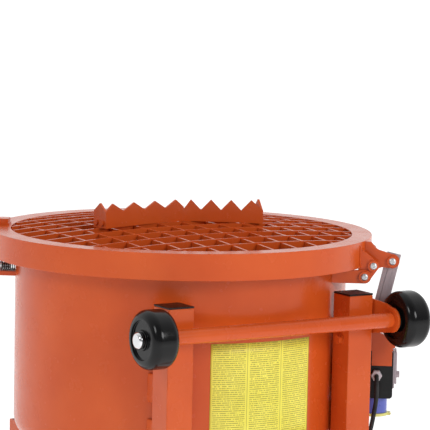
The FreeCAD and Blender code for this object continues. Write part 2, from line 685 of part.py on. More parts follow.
teeth_big = int(size("gear_teeth"))
teeth_small = int(size("pinion_teeth"))
centre = size("gear_module") * (teeth_big + teeth_small) / 2
upper_low = size("ring_top") - size("pan_drop") - size("case_wall") - size("gear_side") - size("gear_width")
lower_low = upper_low - size("gear_width") - size("gear_side") * 2
snug = size("weld_gap") / 5

output_rod = rod("output_rod", "shaft_radius", "shaft_top - " + GEAR_TOP + " + gear_width + 4", 0, 0, GEAR_TOP + " - gear_width - 4")
output_gear = gear("output_gear", teeth_big, size("shaft_radius") + snug, 0, 0, upper_low, 0)
piece("output_shaft", group("output_shaft_set", output_rod, output_gear))

hub = rod("hub_disc", "hub_radius", "hub_skirt", 0, 0, "hub_top - hub_skirt")
hub = rounded(
    "hub_round", hub, size("hub_radius") / 6,
    lambda edge: is_round(edge) and abs(edge.CenterOfMass.z - size("hub_top")) < 0.01,
)
hub_well = rod("hub_well", "column_outer + hub_clear", COLUMN_TOP + " + hub_clear - hub_top + hub_skirt", 0, 0, "hub_top - hub_skirt")
hub_hole = rod("hub_hole", "shaft_radius + weld_gap / 5", "hub_skirt * 2", 0, 0, "hub_top - hub_skirt")
piece("rotor_hub", cut("hub_bored", hub, hub_well, hub_hole))

cap = rod("cap_disc_blank", "cap_disc", "cap_disc_height", 0, 0, "hub_top")
cap = rounded(
    "cap_disc_round", cap, size("cap_disc_height") / 3,
    lambda edge: is_round(edge) and edge.CenterOfMass.z > size("hub_top") + 1,
)
piece("hub_cap", cap)

PADDLE_LOW = "(" + FLOOR_TOP + " + floor_clear)"


def spun(item, angle):
    """The item turned about the pan's axis."""
    wrapped = group(item.Name + "_spun", item)
    wrapped.Placement = FreeCAD.Placement(FreeCAD.Vector(), FreeCAD.Rotation(FreeCAD.Vector(0, 0, 1), angle))
    return wrapped


arms = []
blades = []
for number, (reach, turn) in enumerate((("arm_first", 25), ("arm_second", 145), ("arm_third", 265))):
    beam = block(
        "arm_beam%d" % number, reach + " + arm_thick / 2 - hub_radius + 3", "arm_thick", "arm_tall",
        "hub_radius - 3", "-arm_thick / 2", "arm_level - arm_tall / 2",
    )
    post = block(
        "arm_post%d" % number, "arm_thick", "arm_thick", "arm_level - " + PADDLE_LOW + " - paddle_tall * 0.2",
        reach + " - arm_thick / 2", "-arm_thick / 2", PADDLE_LOW + " + paddle_tall * 0.2",
    )
    trim = rod("arm_trim%d" % number, "hub_radius + weld_gap", "ring_top", 0, 0, 0)
    arms.append(spun(cut("arm%d" % number, fuse("arm_parts%d" % number, beam, post), trim), turn))
    flat = block(
        "paddle_flat%d" % number, "paddle_plate", "paddle_long", "paddle_tall",
        "arm_thick / 2 + weld_gap", "-paddle_long / 2", PADDLE_LOW,
    )
    tilted = group("paddle_tilted%d" % number, flat)
    tilted.Placement = FreeCAD.Placement(FreeCAD.Vector(), FreeCAD.Rotation(FreeCAD.Vector(0, 0, 1), size("paddle_turn")))
    bind(tilted, Placement__Base__x=reach)
    room = block(
        "paddle_room%d" % number, "arm_thick + 2 * weld_gap", "arm_thick + 2 * weld_gap", "paddle_tall * 3",
        reach + " - arm_thick / 2 - weld_gap", "-arm_thick / 2 - weld_gap", PADDLE_LOW + " - paddle_tall",
    )
    blades.append(spun(cut("paddle%d" % number, tilted, room), turn))

wall_reach = "(pan_outer - pan_wall - scraper_gap)"
beam = block(
    "scraper_beam", wall_reach + " - paddle_plate - weld_gap - hub_radius + 3", "arm_thick", "arm_tall",
    "hub_radius - 3", "-arm_thick / 2", "arm_level - arm_tall / 2",
)
arms.append(spun(cut("scraper_arm", beam, rod("scraper_trim", "hub_radius + weld_gap", "ring_top", 0, 0, 0)), 325))
wiper = block(
    "wiper", "paddle_plate", "scraper_wide", "arm_level + arm_tall / 2 - " + FLOOR_TOP + " - pan_edge",
    wall_reach + " - paddle_plate", "-scraper_wide / 2", FLOOR_TOP + " + pan_edge",
)
edge_limit = rod("wiper_limit", wall_reach, "ring_top", 0, 0, 0)
blades.append(spun(common("wiper_blade", wiper, edge_limit), 325))
piece("mixing_arms", group("arm_set", *arms))
piece("paddles_and_scraper", group("paddle_set", *blades))

# ---- gear case, its two shafts and the motor below it ----

case_x = "(0 - " + PITCH + " - gear_side)"
CASE_LOW = "(ring_top - pan_drop - case_height)"
REACH_BIG = "(gear_module * gear_teeth / 2 + gear_module + case_gap + case_wall)"
REACH_SMALL = "(gear_module * pinion_teeth / 2 + gear_module + case_gap + case_wall)"
case_long = PITCH + " + 2 * " + REACH_BIG
case_deep = REACH_BIG + " + " + PITCH + " + " + REACH_SMALL
case_y = "-" + PITCH + " - " + REACH_SMALL
shell_out = block("case_outside", case_long, case_deep, "case_height", "-" + REACH_BIG, case_y, CASE_LOW)
shell_in = block(
    "case_hollow", case_long + " - 2 * case_wall", case_deep + " - 2 * case_wall", "case_height",
    "-" + REACH_BIG + " + case_wall", case_y + " + case_wall", CASE_LOW + " - case_wall",
)
shell_out = rounded("case_rounded", shell_out, size("case_wall") * 2, runs_along((0, 0, 1)))
shell_in = rounded("case_hollow_rounded", shell_in, size("case_wall"), runs_along((0, 0, 1)))
output_hole = rod("case_output_hole", "shaft_radius + 2", "case_height * 2", 0, 0, CASE_LOW)
lay_seat = rod(
    "case_lay_seat", "lay_shaft + run_fit", "case_wall", PITCH, 0, CASE_TOP + " - case_wall - case_wall * 0.5"
)
piece("gear_case", cut("gear_case_bored", shell_out, shell_in, output_hole, lay_seat))

lid_blank = block("case_lid_blank", case_long, case_deep, "case_cover", "-" + REACH_BIG, case_y, CASE_LOW + " - case_cover")
lid_blank = rounded("case_lid_rounded", lid_blank, size("case_wall") * 2, runs_along((0, 0, 1)))
lid_lay = rod("lid_lay_seat", "lay_shaft + run_fit", "case_cover", PITCH, 0, CASE_LOW + " - case_cover / 2")
lid_motor = rod("lid_motor_hole", "motor_shaft + run_fit", "case_cover * 3", PITCH, "-" + PITCH, CASE_LOW + " - case_cover * 2")
piece("gear_case_cover", cut("gear_case_cover_bored", lid_blank, lid_lay, lid_motor))

# The lay shaft has its wheel on the lower level and its pinion on the upper one. Each
# tooth faces a gap: the output gear's first tooth points at the lay shaft.
pinion_step = 180.0 / teeth_small
lay_rod = rod(
    "lay_rod", "lay_shaft", "case_height + case_cover / 2 - case_wall / 2 - 1", PITCH, 0, CASE_LOW + " - case_cover / 2 + 0.5"
)
lay_pinion = gear("lay_pinion", teeth_small, size("lay_shaft") + snug, centre, 0, upper_low, 180 + pinion_step)
lay_wheel = gear("lay_wheel", teeth_big, size("lay_shaft") + snug, centre, 0, lower_low, -90)
piece("lay_shaft", group("lay_shaft_set", lay_rod, lay_pinion, lay_wheel))

MOTOR_TOP = "(ring_top - pan_drop - case_height - case_cover)"
MOTOR_LOW = "(ring_top - pan_drop - case_height - case_cover - motor_height)"
motor_rod = rod(
    "motor_rod", "motor_shaft", "gear_side + gear_width + case_cover + motor_height + fan_height * 0.7",
    PITCH, "-" + PITCH, MOTOR_LOW + " - fan_height * 0.7",
)
motor_rod_top = size("ring_top") - size("pan_drop") - size("case_height") + size("gear_side") + size("gear_width")
motor_pinion = gear("motor_pinion", teeth_small, size("motor_shaft") + snug, centre, -centre, lower_low, 90 + pinion_step)
motor_core = pipe(
    "motor_core", "motor_radius * 0.45", "motor_shaft + weld_gap / 5", "motor_height * 0.6",
    PITCH, "-" + PITCH, MOTOR_LOW + " + motor_height * 0.2",
)
piece("motor_shaft", group("motor_shaft_set", motor_rod, motor_pinion, motor_core))

barrel = rod("motor_barrel", "motor_radius", "motor_height", PITCH, "-" + PITCH, MOTOR_LOW)
fin_gaps = []
for number in range(int(size("fin_count"))):
    angle = 360.0 * number / size("fin_count")
    notch = block(
        "fin_gap%d" % number, "fin_depth * 2", "motor_radius * 0.13", "motor_height * 0.76",
        "motor_radius - fin_depth", "-motor_radius * 0.065", "0",
    )
    turned = group("fin_turned%d" % number, notch)
    turned.Placement = FreeCAD.Placement(FreeCAD.Vector(), FreeCAD.Rotation(FreeCAD.Vector(0, 0, 1), angle))
    bind(turned, Placement__Base__x=PITCH, Placement__Base__y="-" + PITCH, Placement__Base__z=MOTOR_LOW + " + motor_height * 0.12")
    fin_gaps.append(turned)
hollow = rod("motor_hollow", "motor_radius * 0.8", "motor_height - 16", PITCH, "-" + PITCH, MOTOR_LOW + " + 8")
shaft_way = rod("motor_shaft_way", "motor_shaft + run_fit", "motor_height * 2", PITCH, "-" + PITCH, MOTOR_LOW + " - 1")
piece("motor_body", cut("motor_body_cut", barrel, *fin_gaps, hollow, shaft_way))
piece(
    "motor_stator",
    pipe("stator", "motor_radius * 0.8 - weld_gap / 2", "motor_radius * 0.45 + 1", "motor_height * 0.6",
         PITCH, "-" + PITCH, MOTOR_LOW + " + motor_height * 0.2"),
)
FAN_LOW = "(ring_top - pan_drop - case_height - case_cover - motor_height - fan_height * 0.6)"
fan_disc = rod("fan_disc", "motor_radius * 0.78", "3", PITCH, "-" + PITCH, FAN_LOW)
fan_hub = rod("fan_hub", "motor_shaft * 1.8", "fan_height * 0.4", PITCH, "-" + PITCH, FAN_LOW)
vanes = []
for number in range(7):
    vane = block("vane%d" % number, "motor_radius * 0.55", "3", "fan_height * 0.4", "motor_radius * 0.2", "-1.5", "0")
    turned = group("vane_turned%d" % number, vane)
    turned.Placement = FreeCAD.Placement(
        FreeCAD.Vector(), FreeCAD.Rotation(FreeCAD.Vector(0, 0, 1), 360.0 * number / 7)
    )
    bind(turned, Placement__Base__x=PITCH, Placement__Base__y="-" + PITCH, Placement__Base__z=FAN_LOW)
    vanes.append(turned)
fan_bore = rod("fan_bore", "motor_shaft + weld_gap / 5", "fan_height * 2", PITCH, "-" + PITCH, FAN_LOW + " - fan_height")
piece("cooling_fan", cut("fan_bored", fuse("fan_parts", fan_disc, fan_hub, *vanes), fan_bore))

COVER_LOW = "(ring_top - pan_drop - case_height - case_cover - motor_height - fan_height)"
cover_out = rod("fan_cover_outside", "motor_radius", "fan_height", PITCH, "-" + PITCH, COVER_LOW)
cover_in = rod("fan_cover_hollow", "motor_radius - 2.5", "fan_height", PITCH, "-" + PITCH, COVER_LOW + " + 2.5")
slots = [
    block(
        "fan_slot%d" % number, "2 * sqrt((motor_radius * 0.75) ^ 2 - (%d * motor_radius * 0.16) ^ 2)" % number,
        "motor_radius * 0.07", "8",
        PITCH + " - sqrt((motor_radius * 0.75) ^ 2 - (%d * motor_radius * 0.16) ^ 2)" % number,
        "-" + PITCH + " + %d * motor_radius * 0.16 - motor_radius * 0.035" % number, COVER_LOW + " - 2",
    )
    for number in range(-4, 5)
]
piece("fan_cover", cut("fan_cover_cut", cover_out, cover_in, *slots))

box_low = MOTOR_TOP + " - 20 - box_tall"
box_body = block(
    "terminal_blank", "box_long", "box_deep + fin_depth", "box_tall",
    PITCH + " - box_long / 2", "-" + PITCH + " - motor_radius - box_deep", box_low,
)
box_seat = rod("terminal_seat", "motor_radius + weld_gap", "motor_height", PITCH, "-" + PITCH, MOTOR_LOW)
entry = pipe(
    "box_entry", "gland_radius", "cable_radius + weld_gap", "gland_long",
    PITCH + " + box_long / 2", "-" + PITCH + " - motor_radius - box_deep * 0.6", MOTOR_TOP + " - 20 - box_tall / 2", "X",
)
piece("terminal_box", fuse("terminal_parts", cut("terminal_cut", box_body, box_seat), entry))

bearings = [
    pipe("bearing_" + name, "column_outer - column_wall - weld_gap / 5", "shaft_radius + run_fit", "bearing_height", 0, 0, low)
    for name, low in (("top", COLUMN_TOP + " - bearing_height - 1"), ("low", FLOOR_TOP))
]
piece("shaft_bearings", group("bearing_pair", *bearings))

# ---- lid: ring, seal, domed grille and bag ripper ----

RING = "ring_top"
flat_ring = pipe("ring_flat", "ring_outer", "ring_inner", "ring_plate", 0, 0, "ring_top - ring_plate")
skirt = pipe("ring_skirt", "ring_outer", "ring_outer - sheet", "skirt_drop", 0, 0, "ring_top - skirt_drop")
piece("lid_ring", fuse("lid_ring_parts", flat_ring, skirt))
piece("lid_seal", pipe("seal", "seal_outer", "seal_inner", "seal_height", 0, 0, RIM_TOP + " + seal_gap"))

DOME = "((ring_inner ^ 2 + dome_rise ^ 2) / (2 * dome_rise))"
DOME_MIDDLE = "ring_top + dome_rise - " + DOME


def domed_bars(name, axis, down, deep):
    """Parallel bars on edge, each bent to the dome over its own chord of the ring."""
    bars = []
    for number in range(-5, 6):
        offset = "(%d * bar_pitch)" % number
        half = "sqrt((ring_inner - weld_gap) ^ 2 - (%d * bar_pitch + bar_thick / 2) ^ 2)" % abs(number)
        rise = "(dome_rise * (1 - (%d * bar_pitch / ring_inner) ^ 2))" % number
        bend = "((%s ^ 2 + %s ^ 2) / (2 * %s))" % (half, rise, rise)
        near = offset + " - bar_thick / 2"
        centre_z = "ring_top + %s - %s" % (rise, bend)
        label = "%s%d" % (name, number + 5)
        spot = ("0", near, centre_z) if axis == "Y" else (near, "0", centre_z)
        outer = rod(label + "_outer", bend + " - " + down, "bar_thick", *spot, axis)
        inner = rod(label + "_inner", bend + " - " + down + " - " + deep, "bar_thick", *spot, axis)
        across = ("2 * " + half, "bar_thick", "bar_depth * 3")
        corner = ("-" + half, near, "ring_top - bar_depth * 1.5")
        if axis == "X":
            across = (across[1], across[0], across[2])
            corner = (corner[1], corner[0], corner[2])
        limit = block(label + "_limit", *across, *corner)
        bars.append(common(label, cut(label + "_band", outer, inner), limit))
    return bars


cross_bars = domed_bars("cross_bar", "X", "cross_step", "cross_depth")
main_bars = domed_bars("main_bar", "Y", "0", "bar_depth")
notched = [cut("notched_bar%d" % number, bar, *cross_bars) for number, bar in enumerate(main_bars)]
piece("lid_grille", group("grille_bars", *notched, *cross_bars))


WING_TEETH = 4


def ripper_wing(name, length, turn, fold, depth, first, pitch):
    """A toothed plate standing on the grille from the apex outward, with a bolted flange at its end."""
    corners = [(0, "ring_top")]
    for number in range(WING_TEETH):
        peak = "%s + %d * %s" % (first, number, pitch)
        corners.append(("max(0; %s - %s / 2)" % (peak, pitch), "ring_top + blade_peak - " + depth))
        corners.append((peak, "ring_top + blade_peak"))
    corners.append((length, "ring_top + blade_peak - " + depth))
    corners.append((length, "ring_top"))
    wing = plate(name + "_plate", "XZ", "-blade_thick / 2", "blade_thick", corners)
    flange_low = "ring_top + blade_peak - " + depth
    flange = plate(
        name + "_flange_plate", "XZ", "-blade_thick / 2", "blade_thick",
        [
            (0, "ring_top"),
            (0, flange_low),
            ("blade_flange / 2", "ring_top + blade_peak"),
            ("blade_flange", flange_low),
            ("blade_flange", "ring_top"),
        ],
    )
    bolts = [
        rod(
            "%s_bolt%d" % (name, number), "blade_bolt", "blade_thick + 2 * blade_head",
            "blade_flange * %s" % place, "-blade_thick / 2 - blade_head", "ring_top + dome_rise + blade_bolt", "Y",
        )
        for number, place in enumerate(("0.25", "0.75"))
    ]
    end = group(name + "_end", fuse(name + "_flange", flange, *bolts))
    end.Placement = FreeCAD.Placement(
        FreeCAD.Vector(size(length) - size("blade_thick") / 2, 0, 0),
        FreeCAD.Rotation(FreeCAD.Vector(0, 0, 1), size(fold)),
    )
    turned = group(name, fuse(name + "_parts", wing, end))
    turned.Placement = FreeCAD.Placement(
        FreeCAD.Vector(size("blade_apex"), size("blade_apex"), 0),
        FreeCAD.Rotation(FreeCAD.Vector(0, 0, 1), size(turn)),
    )
    return turned


grille_top = ball("grille_top", DOME + " + weld_gap", 0, 0, DOME_MIDDLE)
wings = fuse(
    "ripper_wings",
    ripper_wing(
        "left_blade", "left_wing", "left_wing_turn", "left_fold", "left_tooth_depth", "left_first", "left_pitch",
    ),
    ripper_wing(
        "right_blade", "right_wing", "right_wing_turn", "right_fold",
        "right_tooth_depth", "right_first", "right_pitch",
    ),
)
piece("bag_ripper", cut("ripper_seated", wings, grille_top))

# ---- lid hinge, in the hinge frame: pin A on the pan's brackets, tie bolt B between the
# lid's plates, and the lever whose pin C works the switch through a link and a rocker ----

A = ("hinge_out", "(ring_top - hinge_below)")
B = ("tie_out", "(ring_top - tie_below)")
C = ("arm_out", "(ring_top - arm_below)")
LINK_X = "(0 - link_long * sin(link_lean * 1 deg))"
LINK_Z = "(0 - link_long * cos(link_lean * 1 deg))"
P = ("(arm_out + " + LINK_X + ")", "(ring_top - arm_below + " + LINK_Z + ")")
O = ("(hinge_out + " + LINK_X + ")", "(ring_top - hinge_below + " + LINK_Z + ")")
OUTER = "(hinge_side - hinge_plate)"
INNER = "(hinge_side - 2 * hinge_plate - plate_gap)"
LEVER_FAR = "(0 - lever_near + hinge_plate)"
LINK_NEAR = "(" + LEVER_FAR + " + plate_gap)"
LINK_FAR = "(" + LINK_NEAR + " + link_plate)"
ROCKER_NEAR = "(" + LINK_FAR + " + plate_gap)"


def side_plate(name, near, thick, corners, lobes, holes):
    """A plate across the hinge line with round lobes, bored at its pins."""
    blank = plate(name + "_blank", "XZ", near, thick, corners)
    rounds = [rod("%s_lobe%d" % (name, i), r, thick, p[0], near, p[1], "Y") for i, (p, r) in enumerate(lobes)]
    bores = [
        rod("%s_bore%d" % (name, i), r, thick + " * 3", p[0], near + " - " + thick, p[1], "Y")
        for i, (p, r) in enumerate(holes)
    ]
    return cut(name, fuse(name + "_whole", blank, *rounds), *bores)


def pin(name, place, low, length, heads):
    """A pin along the hinge line with round heads: each is (start, thickness, radius)."""
    parts = [rod(name + "_shank", "hinge_pin", length, place[0], low, place[1], "Y")]
    for number, (start, thick, radius) in enumerate(heads):
        parts.append(rod("%s_head%d" % (name, number), radius, thick, place[0], start, place[1], "Y"))
    return fuse(name, *parts)


pan_wall_solid = rod("pan_clear", "pan_outer + weld_gap", "pan_drop", 0, 0, PAN_LOW)
skirt_solid = rod("skirt_clear", "ring_outer + weld_gap", "skirt_drop + weld_gap", 0, 0, "ring_top - skirt_drop - weld_gap")

pan_ear = side_plate(
    "pan_ear_front", "-hinge_side", "hinge_plate",
    [
        ("pan_outer * 0.88", "ring_top - 50"),
        ("hinge_out - hinge_lobe * 2.1", "ring_top - 50"),
        ("hinge_out", A[1] + " + hinge_lobe"),
        ("hinge_out", A[1] + " - hinge_lobe"),
        ("pan_outer * 0.88", A[1] + " - hinge_lobe"),
    ],
    [(A, "hinge_lobe")], [(A, "hinge_pin + weld_gap / 5")],
)
pan_ears = cut("pan_ears_cut", group("pan_ear_pair", pan_ear, mirrored("pan_ear_rear", pan_ear, 0, 1, 0)), pan_wall_solid)
piece("pan_hinge_plates", pan_ears, turned=True)

lid_ear = side_plate(
    "lid_ear_front", "-" + OUTER + " + plate_gap", "hinge_plate",
    [
        ("hinge_out - hinge_lobe * 1.1", "ring_top - 20"),
        ("hinge_out - 2.5", "ring_top - 15"),
        ("tie_out + tie_lobe * 0.5", B[1] + " + tie_lobe * 0.87"),
        ("tie_out + tie_lobe * 0.87", B[1] + " - tie_lobe * 0.5"),
        ("hinge_out + hinge_lobe * 0.7", A[1] + " - hinge_lobe * 0.7"),
        ("hinge_out - hinge_lobe * 0.7", A[1] + " - hinge_lobe * 0.7"),
        ("hinge_out - hinge_lobe * 0.95", "ring_top - skirt_drop"),
    ],
    [(A, "hinge_lobe"), (B, "tie_lobe")], [(A, "hinge_pin + run_fit"), (B, "hinge_pin + weld_gap / 5")],
)
lever = side_plate(
    "lever_blank", "-lever_near", "hinge_plate",
    [
        ("hinge_out - 6", "ring_top - 3"),
        ("hinge_out + 11", "ring_top - 2"),
        ("tie_out + 3", "ring_top - 12"),
        ("tie_out + 9", "ring_top - 16"),
        ("arm_out + 7", C[1] + " + arm_lobe * 0.82"),
        ("arm_out", C[1] + " - arm_lobe"),
        ("tie_out + 16", "ring_top - skirt_drop - 1"),
        ("tie_out", B[1] + " - tie_lobe"),
        ("hinge_out - 6", "ring_top - skirt_drop"),
    ],
    [(B, "tie_lobe"), (C, "arm_lobe")],
    [(B, "hinge_pin + weld_gap / 5"), (C, "hinge_pin + weld_gap / 5")],
)
lid_ears = group("lid_ear_pair", lid_ear, mirrored("lid_ear_rear", lid_ear, 0, 1, 0), lever)
piece("lid_hinge_plates", cut("lid_ears_cut", lid_ears, skirt_solid), turned=True)

hinge_pin_front = pin(
    "hinge_pin_front", A, "-hinge_side", "2 * hinge_plate + plate_gap + 5",
    [
        ("-hinge_side - head_height", "head_height", "head_radius"),
        ("-" + INNER + " + plate_gap", "5", "head_radius"),
    ],
)
pin_pair = group("hinge_pin_pair", hinge_pin_front, mirrored("hinge_pin_rear", hinge_pin_front, 0, 1, 0))
pin_pair.Placement = FreeCAD.Placement(
    FreeCAD.Vector(), FreeCAD.Rotation(FreeCAD.Vector(0, 0, 1), size("hinge_turn"))
)
piece("frame_bolts_and_pins", group("frame_bolt_set", leg_bolts, pin_pair))

tie_low = "(0 - " + OUTER + " + plate_gap)"
tie_bolt = pin(
    "tie_bolt", B, tie_low + " - head_height", LEVER_FAR + " - " + tie_low + " + 2 * head_height",
    [
        (tie_low + " - head_height", "head_height", "head_radius"),
        ("-" + INNER + " + weld_gap / 5", INNER + " - lever_near - weld_gap / 2.5", "sleeve_outer"),
        (LEVER_FAR, "head_height * 0.8", "head_radius"),
    ],
)
arm_bolt = pin(
    "arm_bolt", C, "-lever_near - head_height", LINK_FAR + " + lever_near + 2 * head_height",
    [
        ("-lever_near - head_height", "head_height", "head_radius"),
        (LINK_FAR + " + plate_gap", "head_height", "head_radius * 0.85"),
    ],
)
piece("lid_bolts", group("lid_bolt_pair", tie_bolt, arm_bolt), turned=True)

link_half = "link_wide / 2"
link_blank = block("link_flat", "link_wide", "link_plate", "link_long + 2 * link_over", "-" + link_half, LINK_NEAR, "-link_over - link_long")
link_leaned = group("link_leaned", link_blank)
link_leaned.Placement = FreeCAD.Placement(
    FreeCAD.Vector(), FreeCAD.Rotation(FreeCAD.Vector(0, 1, 0), size("link_lean"))
)
bind(link_leaned, Placement__Base__x=C[0], Placement__Base__z=C[1])
link_holes = [
    rod("link_hole_" + name, radius, "link_plate * 3", place[0], LINK_NEAR + " - link_plate", place[1], "Y")
    for name, radius, place in (("top", "hinge_pin + run_fit", C), ("low", "hinge_pin + open_pivot", P))
]
piece("interlock_link", cut("link_bored", link_leaned, *link_holes), turned=True)

rocker_blank = plate(
    "rocker_strip", "XZ", ROCKER_NEAR, "hinge_plate",
    [
        (O[0] + " + rocker_wide * 0.227", O[1] + " - rocker_wide * 0.446"),
        (P[0] + " + rocker_wide * 0.227", P[1] + " - rocker_wide * 0.446"),
        (P[0] + " - rocker_wide * 0.227", P[1] + " + rocker_wide * 0.446"),
        (O[0] + " - rocker_wide * 0.227", O[1] + " + rocker_wide * 0.446"),
    ],
)
rocker = fuse(
    "rocker_parts", rocker_blank,
    rod("rocker_end", "rocker_wide / 2", "hinge_plate", P[0], ROCKER_NEAR, P[1], "Y"),
    rod("rocker_root", "rocker_wide / 2", "hinge_plate", O[0], ROCKER_NEAR, O[1], "Y"),
    rod("rocker_axle", "rocker_shaft", "-safety_far - " + ROCKER_NEAR, O[0], ROCKER_NEAR, O[1], "Y"),
    rod("rocker_pin", "hinge_pin", "link_plate + 2 * plate_gap + 3", P[0], LINK_NEAR + " - 3 - plate_gap", P[1], "Y"),
    rod("rocker_pin_head", "hinge_pin * 1.6", "2.5", P[0], LINK_NEAR + " - 3 - plate_gap", P[1], "Y"),
)
piece("interlock_rocker", rocker, turned=True)

# ---- switch group under the hinge: bracket, safety switch, box, cover, flap, inlet ----

SHELF = "(ring_top - switch_top + weld_gap)"
ROOF_LOW = "(ring_top - hood_low + sheet)"
side_sheet = plate(
    "bracket_side", "XZ", "-plate_near", "sheet",
    [
        ("pan_outer * 0.95", "ring_top - hood_top"),
        ("hood_in", "ring_top - hood_top"),
        ("hood_out", "ring_top - hood_low"),
        ("hood_out", "ring_top - flange_top + 1"),
        ("flange_out", "ring_top - flange_top"),
        ("flange_out", "ring_top - flange_low"),
        ("flange_out - 36", "ring_top - flange_low"),
        ("flange_out - 36", "ring_top - switch_top"),
        ("pan_outer * 0.95", "ring_top - switch_top"),
    ],
)
side_sheet = cut(
    "bracket_side_bored", side_sheet,
    rod("rocker_bearing", "rocker_shaft + run_fit", "sheet * 4", O[0], "-plate_near - sheet", O[1], "Y"),
)
roof = plate(
    "bracket_roof", "XZ", "-plate_near", "plate_near - switch_far",
    [
        ("hood_in", "ring_top - hood_top"),
        ("hood_out", "ring_top - hood_low"),
        ("hood_out", "ring_top - flange_top + 1"),
        ("hood_out - sheet", "ring_top - flange_top + 1"),
        ("hood_out - sheet", "ring_top - hood_low - sheet"),
        ("hood_in", "ring_top - hood_top - sheet"),
    ],
)
shelf = block(
    "bracket_shelf", "hood_out - sheet - weld_gap - pan_outer * 0.95", "plate_near - switch_far", "sheet", "pan_outer * 0.95", "-plate_near", SHELF,
)
strip_back = block(
    "bracket_back", "switch_in - weld_gap - pan_outer * 0.95", "sheet", "switch_low - switch_top + weld_gap",
    "pan_outer * 0.95", "-plate_near / 2", "ring_top - switch_low",
)
switch_bracket = cut("switch_bracket_cut", fuse("switch_bracket_parts", side_sheet, roof, shelf, strip_back), pan_wall_solid)
piece("switch_bracket", switch_bracket, turned=True)

safety = block(
    "safety_blank", "safety_deep", "safety_long", "safety_tall",
    O[0] + " - rocker_shaft - 2", "-safety_far - safety_long + 2", SHELF + " + sheet + weld_gap / 5",
)
safety_hole = rod("safety_hole", "rocker_shaft + run_fit", "safety_long", O[0], "-safety_far - safety_long", O[1], "Y")
piece("safety_switch", cut("safety_bored", safety, safety_hole), turned=True)

SPAN = "(switch_near - switch_far)"
box_blank = block("switch_blank", "switch_out - switch_in", SPAN, "switch_low - switch_top", "switch_in", "-switch_near", "ring_top - switch_low")
box_blank = rounded("switch_rounded", box_blank, size("switch_round"), runs_along((0, 1, 0)))
BUTTON_MIDDLE = "(0 - (switch_near + switch_far) / 2)"
button_spots = [
    ("start_button", "ring_top - face_top - 15"),
    ("stop_button", "ring_top - face_top - 36"),
]
wells = [
    rod(name + "_well", "button_radius + seat_gap", "20", "switch_out - 10", BUTTON_MIDDLE, level, "X")
    for name, level in button_spots
]
piece("switch_box", cut("switch_box_cut", box_blank, *wells), turned=True)

face = block(
    "face_blank", "face_plate", SPAN + " - 2 * face_margin", "face_low - face_top",
    "switch_out + weld_gap", "-switch_near + face_margin", "ring_top - face_low",
)
face_holes = [
    rod(name + "_hole", "button_radius + seat_gap", "20", "switch_out - 5", BUTTON_MIDDLE, level, "X")
    for name, level in button_spots
]
piece("switch_face", cut("face_bored", face, *face_holes), turned=True)
for name, level in button_spots:
    button = rod(name + "_body", "button_radius", "face_plate + weld_gap + 10 - button_travel - 2", "switch_out - 8 + button_travel", BUTTON_MIDDLE, level, "X")
    piece(name, button, turned=True)

FLAP_IN = "(switch_out + weld_gap + face_plate + seat_gap)"
FLAP_HINGE = ("(" + FLAP_IN + " + flap_plate / 2)", "(ring_top - face_top - flap_plate / 2)")
flap_wide = SPAN + " - 2 * face_margin - 4"
flap_y = "-switch_near + face_margin + 2"
flap = fuse(
    "flap_parts",
    block("flap_flat", "flap_plate", flap_wide, "flap_low - face_top - flap_plate / 2", FLAP_IN, flap_y, "ring_top - flap_low"),
    rod("flap_barrel", "flap_plate / 2", flap_wide, FLAP_HINGE[0], flap_y, FLAP_HINGE[1], "Y"),
    rod("flap_knob", "knob_radius", "knob_height + flap_plate / 2", FLAP_IN + " + flap_plate / 2", BUTTON_MIDDLE, "ring_top - 248", "X"),
)
piece("switch_flap", flap, turned=True)

INLET_LOW = "(ring_top - inlet_low)"
inlet_y = "-inlet_side"
inlet_ring = pipe("inlet_ring", "inlet_radius", "inlet_radius - 3.5", "inlet_low - switch_low - weld_gap", "inlet_out", inlet_y, INLET_LOW)
inlet_floor = rod("inlet_floor", "inlet_radius - 1", "4", "inlet_out", inlet_y, "ring_top - switch_low - weld_gap - 4")
inlet_pins = []
for number in range(3):
    angle = math.radians(90 + 120 * number)
    inlet_pins.append(rod(
        "inlet_pin%d" % number, "2.4", "20",
        "inlet_out + inlet_radius * 0.45 * %.4f" % math.cos(angle),
        "-inlet_side + inlet_radius * 0.45 * %.4f" % math.sin(angle), "ring_top - switch_low - weld_gap - 22",
    ))
piece("supply_inlet", fuse("inlet_parts", inlet_ring, inlet_floor, *inlet_pins), turned=True)

CAP_HINGE_X = "(inlet_out + inlet_cap + 3)"
CAP_HINGE_Z = "(ring_top - inlet_low - seat_gap - inlet_cap_plate / 2)"
cap_parts = fuse(
    "inlet_cap_parts",
    rod("inlet_cap_disc", "inlet_cap", "inlet_cap_plate", "inlet_out", inlet_y, INLET_LOW + " - seat_gap - inlet_cap_plate"),
    block("inlet_cap_tab", "8", "14", "inlet_cap_plate", CAP_HINGE_X + " - 8", inlet_y + " - 7", INLET_LOW + " - seat_gap - inlet_cap_plate"),
    rod("inlet_cap_barrel", "inlet_cap_plate / 2", "14", CAP_HINGE_X, inlet_y + " - 7", CAP_HINGE_Z, "Y"),
)
piece("inlet_cap", cap_parts, turned=True)

gland = doc.addObject("Part::Prism", "gland_nut")
gland.Polygon = 6
bind(gland, Circumradius="gland_radius", Height="gland_long")
at(gland, "gland_out", "-switch_near - gland_long", "ring_top - gland_below", TURNS["Y"])
piece("cable_gland", gland, turned=True)

# ---- cable from the switch box down past the leg to the motor's terminal box ----

